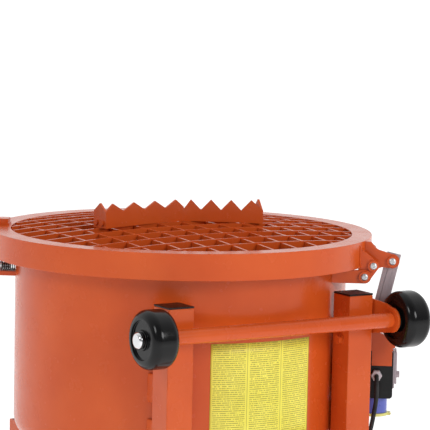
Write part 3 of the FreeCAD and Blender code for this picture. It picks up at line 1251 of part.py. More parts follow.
cable_turn = FreeCAD.Rotation(FreeCAD.Vector(0, 0, 1), size("hinge_turn"))
cable_level = size("ring_top") - size("gland_below")
gland_end = -size("switch_near") - size("gland_long")
cable_start = cable_turn.multVec(FreeCAD.Vector(size("gland_out"), gland_end, cable_level))
cable_bend = cable_turn.multVec(FreeCAD.Vector(size("gland_out"), gland_end - 23.5, cable_level))
box_side = centre + size("box_long") / 2
box_middle = -centre - size("motor_radius") - size("box_deep") * 0.6
box_level = size("ring_top") - size("pan_drop") - size("case_height") - size("case_cover") - 20 - size("box_tall") / 2
entry_long = size("gland_long")
cable_points = [
    tuple(cable_start),
    tuple(cable_bend),
    (237, -289, 560),
    (236, -277, 503),
    (234, -257, 450),
    (222, -238, 396),
    (186, -215, 368),
    (box_side + entry_long + 30, box_middle + 1, box_level),
    (box_side + entry_long, box_middle, box_level),
]
cable = bent_tube(cable_points, None, size("cable_radius"))
made("supply_cable", cable)

# ---- latch and lid handle, on the far side from the hinge (x is negative here) ----

CATCH = "(0 - ring_outer - weld_gap - catch_plate)"
LATCH_Z = "(ring_top - latch_below)"
GUIDE_OUT = "(0 - ring_outer + 1)"
COLLAR = "(" + GUIDE_OUT + " + guide_plate + seat_gap + latch_travel)"
WINDOW_TOP = "(" + LATCH_Z + " + latch_rod + catch_room)"
WINDOW_LOW = "(" + LATCH_Z + " - latch_rod - catch_room)"
web = block(
    "catch_web", "catch_plate", "catch_wide", "ring_top - catch_below - " + WINDOW_TOP,
    CATCH, "-catch_wide / 2", WINDOW_TOP,
)
strips = [
    block(
        "catch_strip_" + name, "catch_plate", "catch_wide / 2 - latch_rod - catch_room",
        WINDOW_TOP + " - " + WINDOW_LOW, CATCH, near, WINDOW_LOW,
    )
    for name, near in (("left", "-catch_wide / 2"), ("right", "latch_rod + catch_room"))
]
lip = plate(
    "catch_lip", "YZ", CATCH, "catch_plate",
    [
        ("-catch_wide / 2", WINDOW_LOW),
        ("-catch_wide / 4", "ring_top - catch_drop"),
        ("catch_wide / 4", "ring_top - catch_drop"),
        ("catch_wide / 2", WINDOW_LOW),
    ],
)

base_bar = block(
    "latch_bar", "ring_outer - 1 - pan_outer * 0.95", "latch_wide", "latch_base",
    GUIDE_OUT, "-latch_wide / 2", LATCH_Z + " - spring_radius - latch_base",
)
guide = block(
    "latch_guide", "guide_plate", "latch_wide * 0.8", "spring_radius + 9",
    GUIDE_OUT, "-latch_wide * 0.4", LATCH_Z + " - spring_radius",
)
guide_bore = rod("latch_bore", "latch_rod + run_fit", "guide_plate * 3", "-ring_outer", 0, LATCH_Z, "X")
bracket_parts = cut("latch_cut", fuse("latch_parts", base_bar, guide), guide_bore, pan_wall_solid)
piece("latch_bracket", bracket_parts, turned=True)

bolt_rod = rod(
    "latch_bolt_rod", "latch_rod", COLLAR + " + collar + latch_tail - " + CATCH + " - catch_plate - nose_gap",
    CATCH + " + catch_plate + nose_gap", 0, LATCH_Z, "X",
)
collar = rod("latch_collar", "spring_radius", "collar", COLLAR, 0, LATCH_Z, "X")
piece("latch_bolt", fuse("latch_bolt_parts", bolt_rod, collar), turned=True)

coil_room = size("ring_outer") - 1 - size("guide_plate") - size("latch_travel") - size("collar") - size("pan_outer")
coil_long = coil_room - 3 * size("seat_gap") - size("spring_wire")
coil_radius = size("spring_radius") - size("spring_wire") / 2
helix = Part.makeHelix(coil_long / size("spring_turns"), coil_long, coil_radius)
half_wire = size("spring_wire") / 2
corners = [(-half_wire, -half_wire), (half_wire, -half_wire), (half_wire, half_wire), (-half_wire, half_wire)]
points = [FreeCAD.Vector(coil_radius + across, 0, along) for across, along in corners]
section = Part.makePolygon(points + points[:1])
coil = Part.Wire(helix.Edges).makePipeShell([section], True, True)
coil.rotate(FreeCAD.Vector(), FreeCAD.Vector(0, 1, 0), -90)
coil.translate(FreeCAD.Vector(
    -size("pan_outer") - size("seat_gap") - size("spring_wire") / 2, 0, size("ring_top") - size("latch_below")
))
made("latch_spring", coil, turned=True)

handle_foot = block(
    "handle_foot", "28", "handle_wide", "handle_lift", "-ring_outer + 4", "-handle_wide / 2", "ring_top + weld_gap / 5",
)
handle_arm = block(
    "handle_arm", "handle_end - handle_start", "handle_wide", "handle_bar",
    "-handle_end", "-handle_wide / 2", "ring_top + handle_lift",
)
handle_rod = rod(
    "handle_rod", "grip_rod", "grip_half * 2", "-handle_end", "-grip_half", "ring_top + handle_lift + handle_bar / 2", "Y"
)
handle = fuse("lid_handle_parts", handle_foot, handle_arm, handle_rod)
piece("handle_and_catch", group("handle_and_catch_parts", handle, web, *strips, lip), turned=True)

# ---- instruction label on the pan's wall ----

label_body = rod("label_outside", "pan_outer + weld_gap + label_thick", "label_tall", 0, 0, "ring_top - label_top - label_tall")
label_body.Placement = FreeCAD.Placement(
    label_body.Placement.Base, FreeCAD.Rotation(FreeCAD.Vector(0, 0, 1), size("label_start"))
)
bind(label_body, Angle="label_wide", Placement__Base__z="ring_top - label_top - label_tall")
label_core = rod("label_core", "pan_outer + weld_gap", "label_tall * 2", 0, 0, "ring_top - label_top - label_tall * 1.5")
piece("instruction_label", cut("label_skin", label_body, label_core))

# ---- check and export ----

doc.recompute()
for item in doc.Objects:
    if "Invalid" in item.State or "Error" in item.State:
        raise RuntimeError(item.Name + " did not compute: " + str(item.State))
for name, item in PIECES.items():
    if item.Shape.isNull() or not item.Shape.isValid() or not item.Shape.Solids:
        raise RuntimeError(name + " has no valid shape")
os.makedirs("parts", exist_ok=True)
for name, item in PIECES.items():
    item.Shape.exportStep("parts/" + name + ".step")
print(len(PIECES), "nodes")
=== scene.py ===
import math
import random
import bmesh
import bpy
from mathutils import Matrix, Vector


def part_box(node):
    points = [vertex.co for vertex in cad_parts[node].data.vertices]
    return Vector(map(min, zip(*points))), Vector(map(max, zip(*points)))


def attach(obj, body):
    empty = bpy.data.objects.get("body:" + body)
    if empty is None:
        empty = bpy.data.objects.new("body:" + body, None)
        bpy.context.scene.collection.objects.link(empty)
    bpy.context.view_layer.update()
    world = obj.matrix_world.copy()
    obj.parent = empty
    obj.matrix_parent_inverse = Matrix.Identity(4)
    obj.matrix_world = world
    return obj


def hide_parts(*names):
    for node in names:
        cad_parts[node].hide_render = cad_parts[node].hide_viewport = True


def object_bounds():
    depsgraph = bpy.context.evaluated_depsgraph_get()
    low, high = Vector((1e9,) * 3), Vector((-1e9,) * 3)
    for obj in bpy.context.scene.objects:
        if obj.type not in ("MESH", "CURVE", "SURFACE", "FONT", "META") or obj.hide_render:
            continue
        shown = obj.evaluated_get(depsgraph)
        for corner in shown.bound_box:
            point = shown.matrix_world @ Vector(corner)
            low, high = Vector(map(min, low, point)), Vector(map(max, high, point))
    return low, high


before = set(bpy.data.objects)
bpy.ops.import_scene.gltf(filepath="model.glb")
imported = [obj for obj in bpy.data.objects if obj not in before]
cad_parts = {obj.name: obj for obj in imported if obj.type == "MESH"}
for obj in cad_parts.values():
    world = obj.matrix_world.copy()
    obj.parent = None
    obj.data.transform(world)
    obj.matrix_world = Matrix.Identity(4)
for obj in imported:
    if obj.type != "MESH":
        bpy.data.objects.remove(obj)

cad_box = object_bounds()
random.seed(11)

# ---- Camera ----
# A long lens a little over four metres away, slightly above the lid and turned to the left
# of the machine's front, so that the lid ring's top shows as a narrow ellipse.
stand_off = 4.14
eye_height = 0.4985
yaw, pitch, roll = 0.0145, 0.1134, 0.0217
machine_turn = math.radians(31.3)
level = math.cos(pitch)
forward = Vector((math.sin(yaw) * level, math.cos(yaw) * level, -math.sin(pitch)))
right = Vector((math.cos(yaw), -math.sin(yaw), 0))
up = right.cross(forward)
across = right * math.cos(roll) + up * math.sin(roll)
above = up * math.cos(roll) - right * math.sin(roll)
pose = Matrix((across, above, -forward)).transposed().to_4x4()
pose.translation = (0, -stand_off, eye_height)
lid_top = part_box("lid_ring")[1].z
camera_data = bpy.data.cameras.new("camera")
camera_data.sensor_width = 36
camera_data.lens = 192.23
camera = bpy.data.objects.new("camera", camera_data)
bpy.context.scene.collection.objects.link(camera)
camera.matrix_world = (
    Matrix.Translation((0, 0, lid_top)) @ Matrix.Rotation(-machine_turn, 4, "Z") @ pose
)
bpy.context.scene.camera = camera

# ---- Mixing pan ----
# Rolled and welded sheet steel, powder coated outside in gloss orange. Inside it is worn
# bare by the paddles, with a thin grey film of cement left on the wall and floor.


def linear(code):
    """An sRGB hex colour as linear RGBA."""
    parts = [int(code[i:i + 2], 16) / 255 for i in (1, 3, 5)]
    straight = [c / 12.92 if c <= 0.04045 else ((c + 0.055) / 1.055) ** 2.4 for c in parts]
    return (*straight, 1.0)


def add(tree, kind, settings=None, inputs=None):
    """A node with its settings, and its inputs set or linked."""
    node = tree.nodes.new(kind)
    for key, value in (settings or {}).items():
        setattr(node, key, value)
    for key, value in (inputs or {}).items():
        if isinstance(value, bpy.types.NodeSocket):
            tree.links.new(value, node.inputs[key])
        else:
            node.inputs[key].default_value = value
    return node


def blank_material(name):
    """An empty material with its output, and the object's own coordinates in it."""
    made = bpy.data.materials.new(name)
    made.use_nodes = True
    tree = made.node_tree
    tree.nodes.clear()
    output = add(tree, "ShaderNodeOutputMaterial")
    place = add(tree, "ShaderNodeTexCoord")
    return made, tree, output, place.outputs["Object"]


def noise(tree, place, per_metre, detail=3.0, rough=0.55):
    return add(
        tree, "ShaderNodeTexNoise", None,
        {"Vector": place, "Scale": per_metre, "Detail": detail, "Roughness": rough},
    ).outputs["Fac"]


def ramp(tree, value, stops):
    """Maps a value to colours: stops are (position, linear colour)."""
    node = add(tree, "ShaderNodeValToRGB", None, {"Fac": value})
    band = node.color_ramp
    while len(band.elements) < len(stops):
        band.elements.new(0.5)
    for element, (position, colour) in zip(band.elements, stops):
        element.position = position
        element.color = colour
    return node.outputs["Color"]


def mix(tree, share, first, second):
    node = add(tree, "ShaderNodeMix", {"data_type": "RGBA"})
    for index, value in ((0, share), (6, first), (7, second)):
        if isinstance(value, bpy.types.NodeSocket):
            tree.links.new(value, node.inputs[index])
        else:
            node.inputs[index].default_value = value
    return node.outputs[2]


def grey(value):
    return (value, value, value, 1.0)


def powder_coat(name, inside=None):
    """Gloss powder coat on steel: a fine orange peel, slight shifts of tone, dust on what
    faces up, and, inside a given radius, bare steel with a film of cement."""
    made, tree, output, place = blank_material(name)
    tone = ramp(
        tree, noise(tree, place, 7, 4), [(0.3, linear("#C24B18")), (0.7, linear("#CE5720"))]
    )
    facing = add(tree, "ShaderNodeNewGeometry").outputs["Normal"]
    lift = add(tree, "ShaderNodeSeparateXYZ", None, {"Vector": facing}).outputs["Z"]
    speck = noise(tree, place, 120, 5, 0.7)
    settled = add(
        tree, "ShaderNodeMath", {"operation": "MULTIPLY"}, {0: lift, 1: speck}
    ).outputs["Value"]
    dust = add(
        tree, "ShaderNodeMapRange", None,
        {"Value": settled, "From Min": 0.35, "From Max": 0.85, "To Min": 0.0, "To Max": 0.08},
    ).outputs["Result"]
    colour = mix(tree, dust, tone, linear("#D9B9A6"))
    gloss = add(
        tree, "ShaderNodeMapRange", None,
        {"Value": noise(tree, place, 30, 4), "From Min": 0.3, "From Max": 0.7,
         "To Min": 0.20, "To Max": 0.30},
    ).outputs["Result"]
    peel = add(
        tree, "ShaderNodeBump", None,
        {"Strength": 0.05, "Distance": 0.0006, "Height": noise(tree, place, 420, 2)},
    ).outputs["Normal"]
    coat = add(
        tree, "ShaderNodeBsdfPrincipled", None,
        {"Base Color": colour, "Roughness": gloss, "Normal": peel, "IOR": 1.33, "Coat Weight": 0.1,
         "Coat Roughness": 0.08},
    )
    surface = coat.outputs["BSDF"]
    if inside:
        spot = add(tree, "ShaderNodeSeparateXYZ", None, {"Vector": place})
        flat = add(
            tree, "ShaderNodeCombineXYZ", None, {"X": spot.outputs["X"], "Y": spot.outputs["Y"]}
        )
        reach = add(
            tree, "ShaderNodeVectorMath", {"operation": "LENGTH"}, {0: flat.outputs["Vector"]}
        ).outputs["Value"]
        within = add(
            tree, "ShaderNodeMath", {"operation": "LESS_THAN"}, {0: reach, 1: inside}
        ).outputs["Value"]
        over = add(
            tree, "ShaderNodeMath", {"operation": "GREATER_THAN"},
            {0: spot.outputs["Z"], 1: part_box("mixing_pan")[0].z + 0.003},
        ).outputs["Value"]
        outwards = add(
            tree, "ShaderNodeVectorMath", {"operation": "DOT_PRODUCT"},
            {0: facing, 1: flat.outputs["Vector"]},
        ).outputs["Value"]
        turned_in = add(
            tree, "ShaderNodeMath", {"operation": "LESS_THAN"}, {0: outwards, 1: 0.1}
        ).outputs["Value"]
        not_under = add(
            tree, "ShaderNodeMath", {"operation": "GREATER_THAN"}, {0: lift, 1: -0.15}
        ).outputs["Value"]
        cemented = within
        for mask in (over, turned_in, not_under):
            cemented = add(
                tree, "ShaderNodeMath", {"operation": "MULTIPLY"}, {0: cemented, 1: mask}
            ).outputs["Value"]
        film = ramp(
            tree, noise(tree, place, 16, 6, 0.65),
            [(0.35, linear("#6E5D55")), (0.5, linear("#8C8480")), (0.7, linear("#A9A39C"))],
        )
        worn = add(
            tree, "ShaderNodeBsdfPrincipled", None,
            {"Base Color": film, "Metallic": 0.35, "Roughness": 0.62, "Normal": add(
                tree, "ShaderNodeBump", None,
                {"Strength": 0.35, "Distance": 0.001, "Height": noise(tree, place, 90, 6, 0.7)},
            ).outputs["Normal"]},
        )
        surface = add(
            tree, "ShaderNodeMixShader", None,
            {0: cemented, 1: coat.outputs["BSDF"], 2: worn.outputs["BSDF"]},
        ).outputs["Shader"]
    tree.links.new(surface, output.inputs["Surface"])
    return made


def dress(coat, edge, *nodes):
    """Gives CAD nodes their material, and the small edge radius that the real piece has.
    An edge of None leaves the corners as cut, with the frame's own normals."""
    for node in nodes:
        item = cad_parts[node]
        item.data.materials.clear()
        item.data.materials.append(coat)
        if edge is None:
            continue
        if "custom_normal" in item.data.attributes:
            item.data.attributes.remove(item.data.attributes["custom_normal"])
        item.data.polygons.foreach_set("use_smooth", [True] * len(item.data.polygons))
        weld = item.modifiers.new("joined", "WELD")
        weld.merge_threshold = 0.00001
        corner = item.modifiers.new("edge", "BEVEL")
        corner.width = edge
        corner.segments = 2
        corner.limit_method = "ANGLE"
        corner.angle_limit = math.radians(38)
        corner.harden_normals = True


pan_outer = 0.300
orange = powder_coat("gloss_powder_coat")
pan_coat = powder_coat("powder_coat_worn_inside", inside=pan_outer - 0.0015)
dress(pan_coat, None, "mixing_pan")
dress(orange, 0.0006, "discharge_chute", "discharge_door", "latch_bracket", "pan_hinge_plates")

# ---- Instruction label ----
# Printed yellow film stuck to the pan's wall between the legs. Three columns of small
# print, which are only rows of dashes here, each with a thin rule at its edge.
label_low, label_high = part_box("instruction_label")
label_start, label_wide = math.radians(-111), math.radians(38.3)
label_radius = pan_outer + 0.0006
columns, rows = 3, 46

film_material, tree, output, place = blank_material("printed_yellow_film")
flat = add(tree, "ShaderNodeUVMap", {"uv_map": "label"}).outputs["UV"]
cells = add(
    tree, "ShaderNodeVectorMath", {"operation": "MULTIPLY"}, {0: flat, 1: (columns, rows, 1)}
).outputs["Vector"]
inner = add(tree, "ShaderNodeVectorMath", {"operation": "FRACTION"}, {0: cells}).outputs["Vector"]
index = add(tree, "ShaderNodeVectorMath", {"operation": "FLOOR"}, {0: cells}).outputs["Vector"]
spot = add(tree, "ShaderNodeSeparateXYZ", None, {"Vector": inner})
number = add(tree, "ShaderNodeSeparateXYZ", None, {"Vector": index})
words = add(
    tree, "ShaderNodeCombineXYZ", None,
    {"X": add(tree, "ShaderNodeSeparateXYZ", None, {"Vector": cells}).outputs["X"],
     "Y": number.outputs["Y"]},
).outputs["Vector"]
stretch = add(
    tree, "ShaderNodeVectorMath", {"operation": "MULTIPLY"}, {0: words, 1: (34, 7.3, 1)}
).outputs["Vector"]
letters = add(
    tree, "ShaderNodeTexNoise", None, {"Vector": stretch, "Scale": 1.0, "Detail": 1.0}
).outputs["Fac"]
word_gap = 0.42
dash = add(
    tree, "ShaderNodeMath", {"operation": "GREATER_THAN"}, {0: letters, 1: word_gap}
).outputs["Value"]


def between(value, low, high):
    """One where a value lies between two limits, and nought elsewhere."""
    over = add(tree, "ShaderNodeMath", {"operation": "GREATER_THAN"}, {0: value, 1: low})
    under = add(tree, "ShaderNodeMath", {"operation": "LESS_THAN"}, {0: value, 1: high})
    both = {0: over.outputs["Value"], 1: under.outputs["Value"]}
    return add(tree, "ShaderNodeMath", {"operation": "MULTIPLY"}, both).outputs["Value"]


print_mask = dash
for mask in (between(spot.outputs["X"], 0.06, 0.94), between(spot.outputs["Y"], 0.28, 0.72)):
    print_mask = add(
        tree, "ShaderNodeMath", {"operation": "MULTIPLY"}, {0: print_mask, 1: mask}
    ).outputs["Value"]
rule = between(spot.outputs["X"], 0.985, 1.1)
print_mask = add(
    tree, "ShaderNodeMath", {"operation": "MAXIMUM"}, {0: print_mask, 1: rule}
).outputs["Value"]
ink_strength = 0.6
ink = add(
    tree, "ShaderNodeMath", {"operation": "MULTIPLY"}, {0: print_mask, 1: ink_strength}
).outputs["Value"]
film_colour = mix(tree, ink, ramp(tree, noise(tree, place, 20), [
    (0.3, linear("#E3D84A")), (0.7, linear("#EDE35C"))]), linear("#5E4A1C"))
film = add(
    tree, "ShaderNodeBsdfPrincipled", None,
    {"Base Color": film_colour, "Roughness": 0.42, "IOR": 1.46},
)
tree.links.new(film.outputs["BSDF"], output.inputs["Surface"])


def finish_piece(name, bm, material, body, replaces=(), crease=35):
    """Makes an object of a bmesh, with edges sharper than crease left hard, on its body."""
    bmesh.ops.remove_doubles(bm, verts=bm.verts, dist=0.000002)
    for face in bm.faces:
        face.smooth = True
    for edge in bm.edges:
        edge.smooth = not (edge.is_manifold and edge.calc_face_angle(0) > math.radians(crease))
    mesh = bpy.data.meshes.new(name)
    bm.to_mesh(mesh)
    bm.free()
    mesh.materials.append(material)
    item = bpy.data.objects.new(name, mesh)
    bpy.context.scene.collection.objects.link(item)
    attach(item, body)
    if replaces:
        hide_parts(*replaces)
    return item


bm = bmesh.new()
bmesh.ops.create_grid(bm, x_segments=48, y_segments=8, size=0.5)
uv = bm.loops.layers.uv.new("label")
for face in bm.faces:
    for loop in face.loops:
        loop[uv].uv = (loop.vert.co.x + 0.5, loop.vert.co.y + 0.5)
for vert in bm.verts:
    angle = label_start + (vert.co.x + 0.5) * label_wide
    height = label_low.z + (vert.co.y + 0.5) * (label_high.z - label_low.z)
    vert.co = (label_radius * math.cos(angle), label_radius * math.sin(angle), height)
bmesh.ops.recalc_face_normals(bm, faces=bm.faces)
if sum((f.normal.dot(f.calc_center_median()) for f in bm.faces)) < 0:
    bmesh.ops.reverse_faces(bm, faces=bm.faces)
label = finish_piece(
    "instruction_film", bm, film_material, "frame", ["instruction_label"]
)
thick = label.modifiers.new("thickness", "SOLIDIFY")
thick.thickness = 0.0004
thick.offset = -1

# ---- Rotor: hub, cap, arms and paddles ----
# Cast and forged steel that works in the mix. It is dark with lighter patches, and caught
# with dried cement; only the cap on top stays bright.


def worked_steel(name, dark, light, cement, metallic=0.75):
    made, tree, output, place = blank_material(name)
    tone = ramp(tree, noise(tree, place, 35, 6, 0.6), [(0.35, linear(dark)), (0.65, linear(light))])
    crust = add(
        tree, "ShaderNodeMapRange", None,
        {"Value": noise(tree, place, 60, 8, 0.7), "From Min": 0.50, "From Max": 0.66,
         "To Min": 0.0, "To Max": cement},
    ).outputs["Result"]
    colour = mix(tree, crust, tone, linear("#9A948B"))
    rough = add(
        tree, "ShaderNodeMapRange", None,
        {"Value": crust, "From Min": 0.0, "From Max": 1.0, "To Min": 0.36, "To Max": 0.9},
    ).outputs["Result"]
    bump = add(
        tree, "ShaderNodeBump", None,
        {"Strength": 0.3, "Distance": 0.0008, "Height": noise(tree, place, 260, 5, 0.65)},
    ).outputs["Normal"]
    steel = add(
        tree, "ShaderNodeBsdfPrincipled", None,
        {"Base Color": colour, "Metallic": metallic, "Roughness": rough, "Normal": bump},
    )
    tree.links.new(steel.outputs["BSDF"], output.inputs["Surface"])
    return made


mix_steel = worked_steel("steel_worked_in_cement", "#3A3734", "#5E5B58", 0.85)
zinc = worked_steel("zinc_plated_steel", "#A9ABAD", "#C9CACA", 0.05, 0.95)
dress(mix_steel, 0.0012, "mixing_arms", "paddles_and_scraper", "rotor_hub", "output_shaft")
dress(zinc, 0.0006, "hub_cap", "shaft_bearings", "rear_axle")
gear_steel = worked_steel("ground_gear_steel", "#6A6A6B", "#8A8A8A", 0.0, 0.95)
dress(gear_steel, 0.0003, "lay_shaft", "motor_shaft")

# ---- Motor and gear case ----
# Aluminium motor with cooling fins and a pressed fan cover, in grey enamel, bolted under a
# cast gear case of the same colour.


def enamel(name, base, light, rough, peel, index=1.5):
    """A painted or moulded surface with a fine texture."""
    made, tree, output, place = blank_material(name)
    tone = ramp(tree, noise(tree, place, 18, 5), [(0.3, linear(base)), (0.7, linear(light))])
    worn = add(
        tree, "ShaderNodeMapRange", None,
        {"Value": noise(tree, place, 70, 6, 0.7), "From Min": 0.3, "From Max": 0.75,
         "To Min": rough * 0.8, "To Max": min(1.0, rough * 1.35)},
    ).outputs["Result"]
    bump = add(
        tree, "ShaderNodeBump", None,
        {"Strength": peel, "Distance": 0.0006, "Height": noise(tree, place, 650, 3)},
    ).outputs["Normal"]
    paint = add(
        tree, "ShaderNodeBsdfPrincipled", None,
        {"Base Color": tone, "Roughness": worn, "Normal": bump, "IOR": index},
    )
    tree.links.new(paint.outputs["BSDF"], output.inputs["Surface"])
    return made


motor_enamel = enamel("grey_motor_enamel", "#4A5158", "#565D64", 0.42, 0.12)
dress(motor_enamel, 0.0005, "motor_body", "fan_cover")
casting = enamel("painted_casting", "#4C5055", "#5B5F63", 0.5, 0.45)
dress(casting, 0.0015, "gear_case", "gear_case_cover")
black_moulding = enamel("black_moulded_plastic", "#0A0A0B", "#111112", 0.34, 0.1, 1.34)
dress(black_moulding, 0.0008, "terminal_box", "safety_switch", "cooling_fan", "leg_caps")
dress(worked_steel("stator_laminations", "#4A4A4B", "#5A5A5B", 0.0), 0.0002, "motor_stator")

# ---- Frame: legs, side frames, cross tubes, push handle ----
# Square and round steel tube, welded together and powder coated with the pan. The handle
# has two pushed-on rubber grips.
dress(orange, 0.002, "front_legs", "side_frames", "cross_tubes")
dress(orange, 0.0006, "push_handle", "loading_brackets", "loading_axle", "switch_bracket")
rubber = enamel("black_rubber", "#141415", "#1C1C1D", 0.72, 0.3)
dress(rubber, 0.001, "handle_grips", "lid_seal", "supply_cable")

# ---- Loading axle, small wheels and chromed caps ----
# The mixer is lifted into a vehicle over two hard black plastic wheels on an axle between
# the joggled brackets. Chromed caps are pressed on the axle's ends outside the wheels.
wheel_black = enamel("glossy_black_plastic", "#060607", "#0B0B0C", 0.16, 0.03, 1.34)
dress(wheel_black, 0.0012, "loading_wheel_left", "loading_wheel_right")

chrome, tree, output, place = blank_material("chromed_steel")
shine = add(
    tree, "ShaderNodeMapRange", None,
    {"Value": noise(tree, place, 90, 3), "From Min": 0.3, "From Max": 0.7,
     "To Min": 0.05, "To Max": 0.12},
).outputs["Result"]
bare = add(
    tree, "ShaderNodeBsdfPrincipled", None,
    {"Base Color": linear("#DCDCDE"), "Metallic": 1.0, "Roughness": shine},
)
tree.links.new(bare.outputs["BSDF"], output.inputs["Surface"])
dress(chrome, 0.0012, "wheel_caps")

# ---- Transport wheels ----
# Two pneumatic tyres on pressed grey rims turn on the rear axle. The tread is a rib all
# round with short cross grooves, moulded in the rubber.
tyre_rubber, tree, output, place = blank_material("tyre_rubber")
spot = add(tree, "ShaderNodeSeparateXYZ", None, {"Vector": place})
tyre_low, tyre_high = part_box("rear_tyre_left")
axle_place = (tyre_low + tyre_high) / 2
off_y = add(
    tree, "ShaderNodeMath", {"operation": "SUBTRACT"}, {0: spot.outputs["Y"], 1: axle_place.y}
).outputs["Value"]
off_z = add(
    tree, "ShaderNodeMath", {"operation": "SUBTRACT"}, {0: spot.outputs["Z"], 1: axle_place.z}
).outputs["Value"]
turn = add(
    tree, "ShaderNodeMath", {"operation": "ARCTAN2"}, {0: off_y, 1: off_z}
).outputs["Value"]
blocks = 72
tread_inner = 0.138
groove_depth = 0.003
groove_start = 0.55
round_tyre = add(
    tree, "ShaderNodeMath", {"operation": "MULTIPLY"}, {0: turn, 1: float(blocks)}
).outputs["Value"]
wave = add(tree, "ShaderNodeMath", {"operation": "SINE"}, {0: round_tyre}).outputs["Value"]
from_axle = add(
    tree, "ShaderNodeCombineXYZ", None, {"X": off_y, "Y": off_z}
).outputs["Vector"]
out = add(
    tree, "ShaderNodeVectorMath", {"operation": "LENGTH"}, {0: from_axle}
).outputs["Value"]
tread = add(
    tree, "ShaderNodeMath", {"operation": "GREATER_THAN"}, {0: out, 1: tread_inner}
).outputs["Value"]
groove = add(
    tree, "ShaderNodeMath", {"operation": "GREATER_THAN"}, {0: wave, 1: groove_start}
).outputs["Value"]
cutting = add(
    tree, "ShaderNodeMath", {"operation": "MULTIPLY"}, {0: tread, 1: groove}
).outputs["Value"]
sunk = add(
    tree, "ShaderNodeBump", {"invert": True},
    {"Strength": 0.9, "Distance": groove_depth, "Height": cutting},
).outputs["Normal"]
grain = add(
    tree, "ShaderNodeBump", None,
    {"Strength": 0.2, "Distance": 0.0005, "Height": noise(tree, place, 500, 4), "Normal": sunk},
).outputs["Normal"]
dusty = ramp(
    tree, noise(tree, place, 45, 6, 0.65), [(0.4, linear("#181818")), (0.75, linear("#3A3734"))]
)
skin = add(
    tree, "ShaderNodeBsdfPrincipled", None, {"Base Color": dusty, "Roughness": 0.8, "Normal": grain}
)
tree.links.new(skin.outputs["BSDF"], output.inputs["Surface"])
dress(tyre_rubber, 0.002, "rear_tyre_left", "rear_tyre_right")
rim_enamel = enamel("grey_painted_rim", "#7C7F82", "#8B8E90", 0.4, 0.1)
dress(rim_enamel, 0.001, "rear_rim_left", "rear_rim_right")

# ---- Lid: ring, grille and bag ripper ----
# Flanged ring of bent sheet with a grating of flat bars on edge welded inside it. The
# toothed ripper plates stand on the bars. All of it is coated after welding.
dress(orange, 0.0007, "lid_ring")
dress(orange, None, "lid_grille")
dress(orange, 0.0004, "bag_ripper")


def weld_beads(name, runs, body, thick=0.0024):
    """Weld seams along straight runs, as overlapping flattened drops of metal."""
    bm = bmesh.new()
    for start, end in runs:
        start, end = Vector(start), Vector(end)
        count = max(1, round((end - start).length / (thick * 0.85)))
        for step in range(count + 1):
            share = step / count
            spot = start.lerp(end, share)
            swell = thick * random.uniform(0.88, 1.12)
            ripple = Matrix.Translation(spot) @ Matrix.Rotation(random.uniform(0, 3), 4, "Z")
            bmesh.ops.create_icosphere(
                bm, subdivisions=2, radius=swell, matrix=ripple @ Matrix.Diagonal((1, 1, 0.8, 1))
            )
    return finish_piece(name, bm, orange, body, crease=60)


ring_inner = 0.309
bar_pitch = 0.050
bar_thick = 0.004
dome_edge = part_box("lid_ring")[1].z - 0.004
seam_tall = 0.009
runs = []
for number in range(-5, 6):
    offset = number * bar_pitch
    reach = math.sqrt(ring_inner ** 2 - offset ** 2) - 0.0012
    for end in (-reach, reach):
        for side in (-bar_thick / 2, bar_thick / 2):
            for along in ((end, offset + side), (offset + side, end)):
                runs.append(((*along, dome_edge - seam_tall), (*along, dome_edge)))
weld_beads("grille_welds", runs, "lid", 0.0017)

# ---- Hinge, interlock link and rocker ----
# Orange lugs on the lid turn on pins in lugs on the pan. A link and rocker of passivated
# steel carry the lid's movement to the safety switch's shaft.
dress(orange, 0.0008, "lid_hinge_plates", "handle_and_catch")
dress(orange, 0.0012, "lid_bolts", "frame_bolts_and_pins")
dress(zinc, 0.0004, "latch_bolt")
spring_steel = worked_steel("blackened_spring_steel", "#1E1C1E", "#2E2B2C", 0.0, 0.6)
dress(spring_steel, 0.0004, "latch_spring")
link_steel = enamel("passivated_plate", "#9C8D92", "#AE9FA3", 0.36, 0.1)
dress(link_steel, 0.0006, "interlock_link", "interlock_rocker")

hinge_turn = math.radians(-35)
outward = Vector((math.cos(hinge_turn), math.sin(hinge_turn), 0))
sideways = Vector((-math.sin(hinge_turn), math.cos(hinge_turn), 0))


def at_hinge(out, side, height):
    """A point given by its distance from the pan's axis, its side and its height."""
    return outward * out + sideways * side + Vector((0, 0, height))


seams = []
for side in (-0.1222, -0.1093, 0.1093, 0.1222):
    seams.append((at_hinge(0.3235, side, 0.802), at_hinge(0.3235, side, 0.832)))
weld_beads("hinge_welds", seams, "lid", 0.0019)

button_steel = worked_steel("button_head_steel", "#B8B8BA", "#D6D6D8", 0.0, 0.95)
head_radius, head_height, socket = 0.0064, 0.0022, 0.0027
head_sides = 24
for name, body, out, near, height in (
    ("pivot", "frame", 0.3316, -0.127, 0.779),
    ("tie", "lid", 0.347, -0.1205, 0.798),
    ("lever", "lid", 0.3808, -0.097, 0.804),
):
    bm = bmesh.new()
    dome = [(head_radius * wide, tall) for wide, tall in ((1, 0), (0.97, 0.35), (0.8, 0.75), (0.55, 1))]
    previous = None
    for radius, share in dome + [(socket, 1.0), (socket, 0.3), (0.0001, 0.3)]:
        loop = []
        for k in range(head_sides):
            angle = 2 * math.pi * k / head_sides
            spot = at_hinge(
                out + radius * math.cos(angle), near - head_height * share,
                height + radius * math.sin(angle),
            )
            loop.append(bm.verts.new(spot))
        if previous:
            for k in range(head_sides):
                bm.faces.new((previous[k], previous[k - 1], loop[k - 1], loop[k]))
        previous = loop
    bmesh.ops.recalc_face_normals(bm, faces=bm.faces)
    finish_piece(name + "_button_head", bm, button_steel, body)

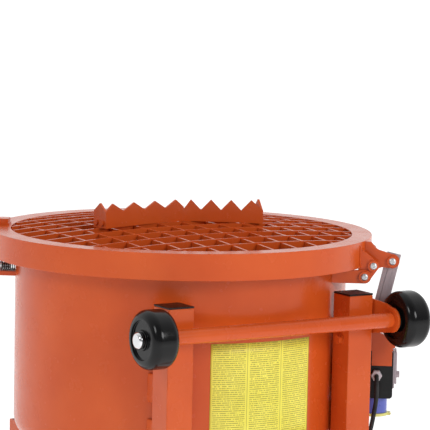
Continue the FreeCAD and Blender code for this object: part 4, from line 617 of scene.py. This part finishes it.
# ---- Switch, supply inlet and cable ----
# A black moulded box with a grey face plate, a hinged grey flap over the red stop and
# green start buttons, a blue inlet for the supply, and a gland for the motor's cable.
dress(black_moulding, 0.0012, "switch_box")
dress(enamel("pale_yellow_plastic", "#CFC870", "#D8D27E", 0.35, 0.05), 0.0008, "inlet_cap")
cover_grey = enamel("moulded_cover_grey", "#A3949A", "#AC9DA2", 0.34, 0.08)
dress(cover_grey, 0.0008, "switch_face", "switch_flap")
dress(enamel("pale_gland_plastic", "#C4B9BE", "#CDC3C8", 0.3, 0.05), 0.0008, "cable_gland")
dress(enamel("red_plastic", "#B01A16", "#BC211B", 0.25, 0.03), 0.0008, "stop_button")
dress(enamel("green_plastic", "#1C7A35", "#23863D", 0.25, 0.03), 0.0008, "start_button")
dress(enamel("blue_plastic", "#4C57AB", "#5762B8", 0.3, 0.05), 0.0008, "supply_inlet")

# ---- Floor, lights and sky ----
# A pale studio floor with a white surround, and two large soft lights, one high on the
# left and one high in front, so that nothing casts a hard shadow.
floor_mesh = bmesh.new()
bmesh.ops.create_grid(floor_mesh, x_segments=1, y_segments=1, size=150)
floor_data = bpy.data.meshes.new("studio_floor")
floor_mesh.to_mesh(floor_data)
floor_mesh.free()
floor = bpy.data.objects.new("studio_floor", floor_data)
bpy.context.scene.collection.objects.link(floor)
floor_white, tree, output, place = blank_material("pale_floor_paint")
floor_skin = add(
    tree, "ShaderNodeBsdfPrincipled", None,
    {"Base Color": grey(0.9), "Roughness": 0.7, "Specular IOR Level": 0.2,
     "Emission Color": grey(1.0), "Emission Strength": 0.42},
)
tree.links.new(floor_skin.outputs["BSDF"], output.inputs["Surface"])
floor_data.materials.append(floor_white)


def soft_light(name, place, target, size, watts):
    lamp = bpy.data.lights.new(name, "AREA")
    lamp.shape = "DISK"
    lamp.size = size
    lamp.energy = watts
    item = bpy.data.objects.new(name, lamp)
    bpy.context.scene.collection.objects.link(item)
    item.location = place
    item.rotation_euler = (Vector(target) - Vector(place)).to_track_quat("-Z", "Y").to_euler()


middle = (cad_box[0] + cad_box[1]) / 2
soft_light("key", (-3.4, -1.2, 2.6), middle, 1.2, 26)
soft_light("fill", (0.9, -4.0, 2.3), middle, 1.6, 62)
world = bpy.data.worlds.new("white_surround")
bpy.context.scene.world = world
world.use_nodes = True
sky_tree = world.node_tree
sky = sky_tree.nodes["Background"]
toward = Matrix.Rotation(-machine_turn, 3, "Z") @ Vector((0, 1, 0.35)).normalized()
looking = add(sky_tree, "ShaderNodeTexCoord").outputs["Generated"]
behind = add(
    sky_tree, "ShaderNodeVectorMath", {"operation": "DOT_PRODUCT"}, {0: looking, 1: toward}
).outputs["Value"]
bright = add(
    sky_tree, "ShaderNodeMapRange", None,
    {"Value": behind, "From Min": -0.35, "From Max": 0.5, "To Min": 0.30, "To Max": 1.0},
).outputs["Result"]
sky_tree.links.new(bright, sky.inputs["Strength"])
sky.inputs["Color"].default_value = grey(1.0)
bpy.context.scene.view_settings.view_transform = "Standard"
camera_data.clip_end = 400
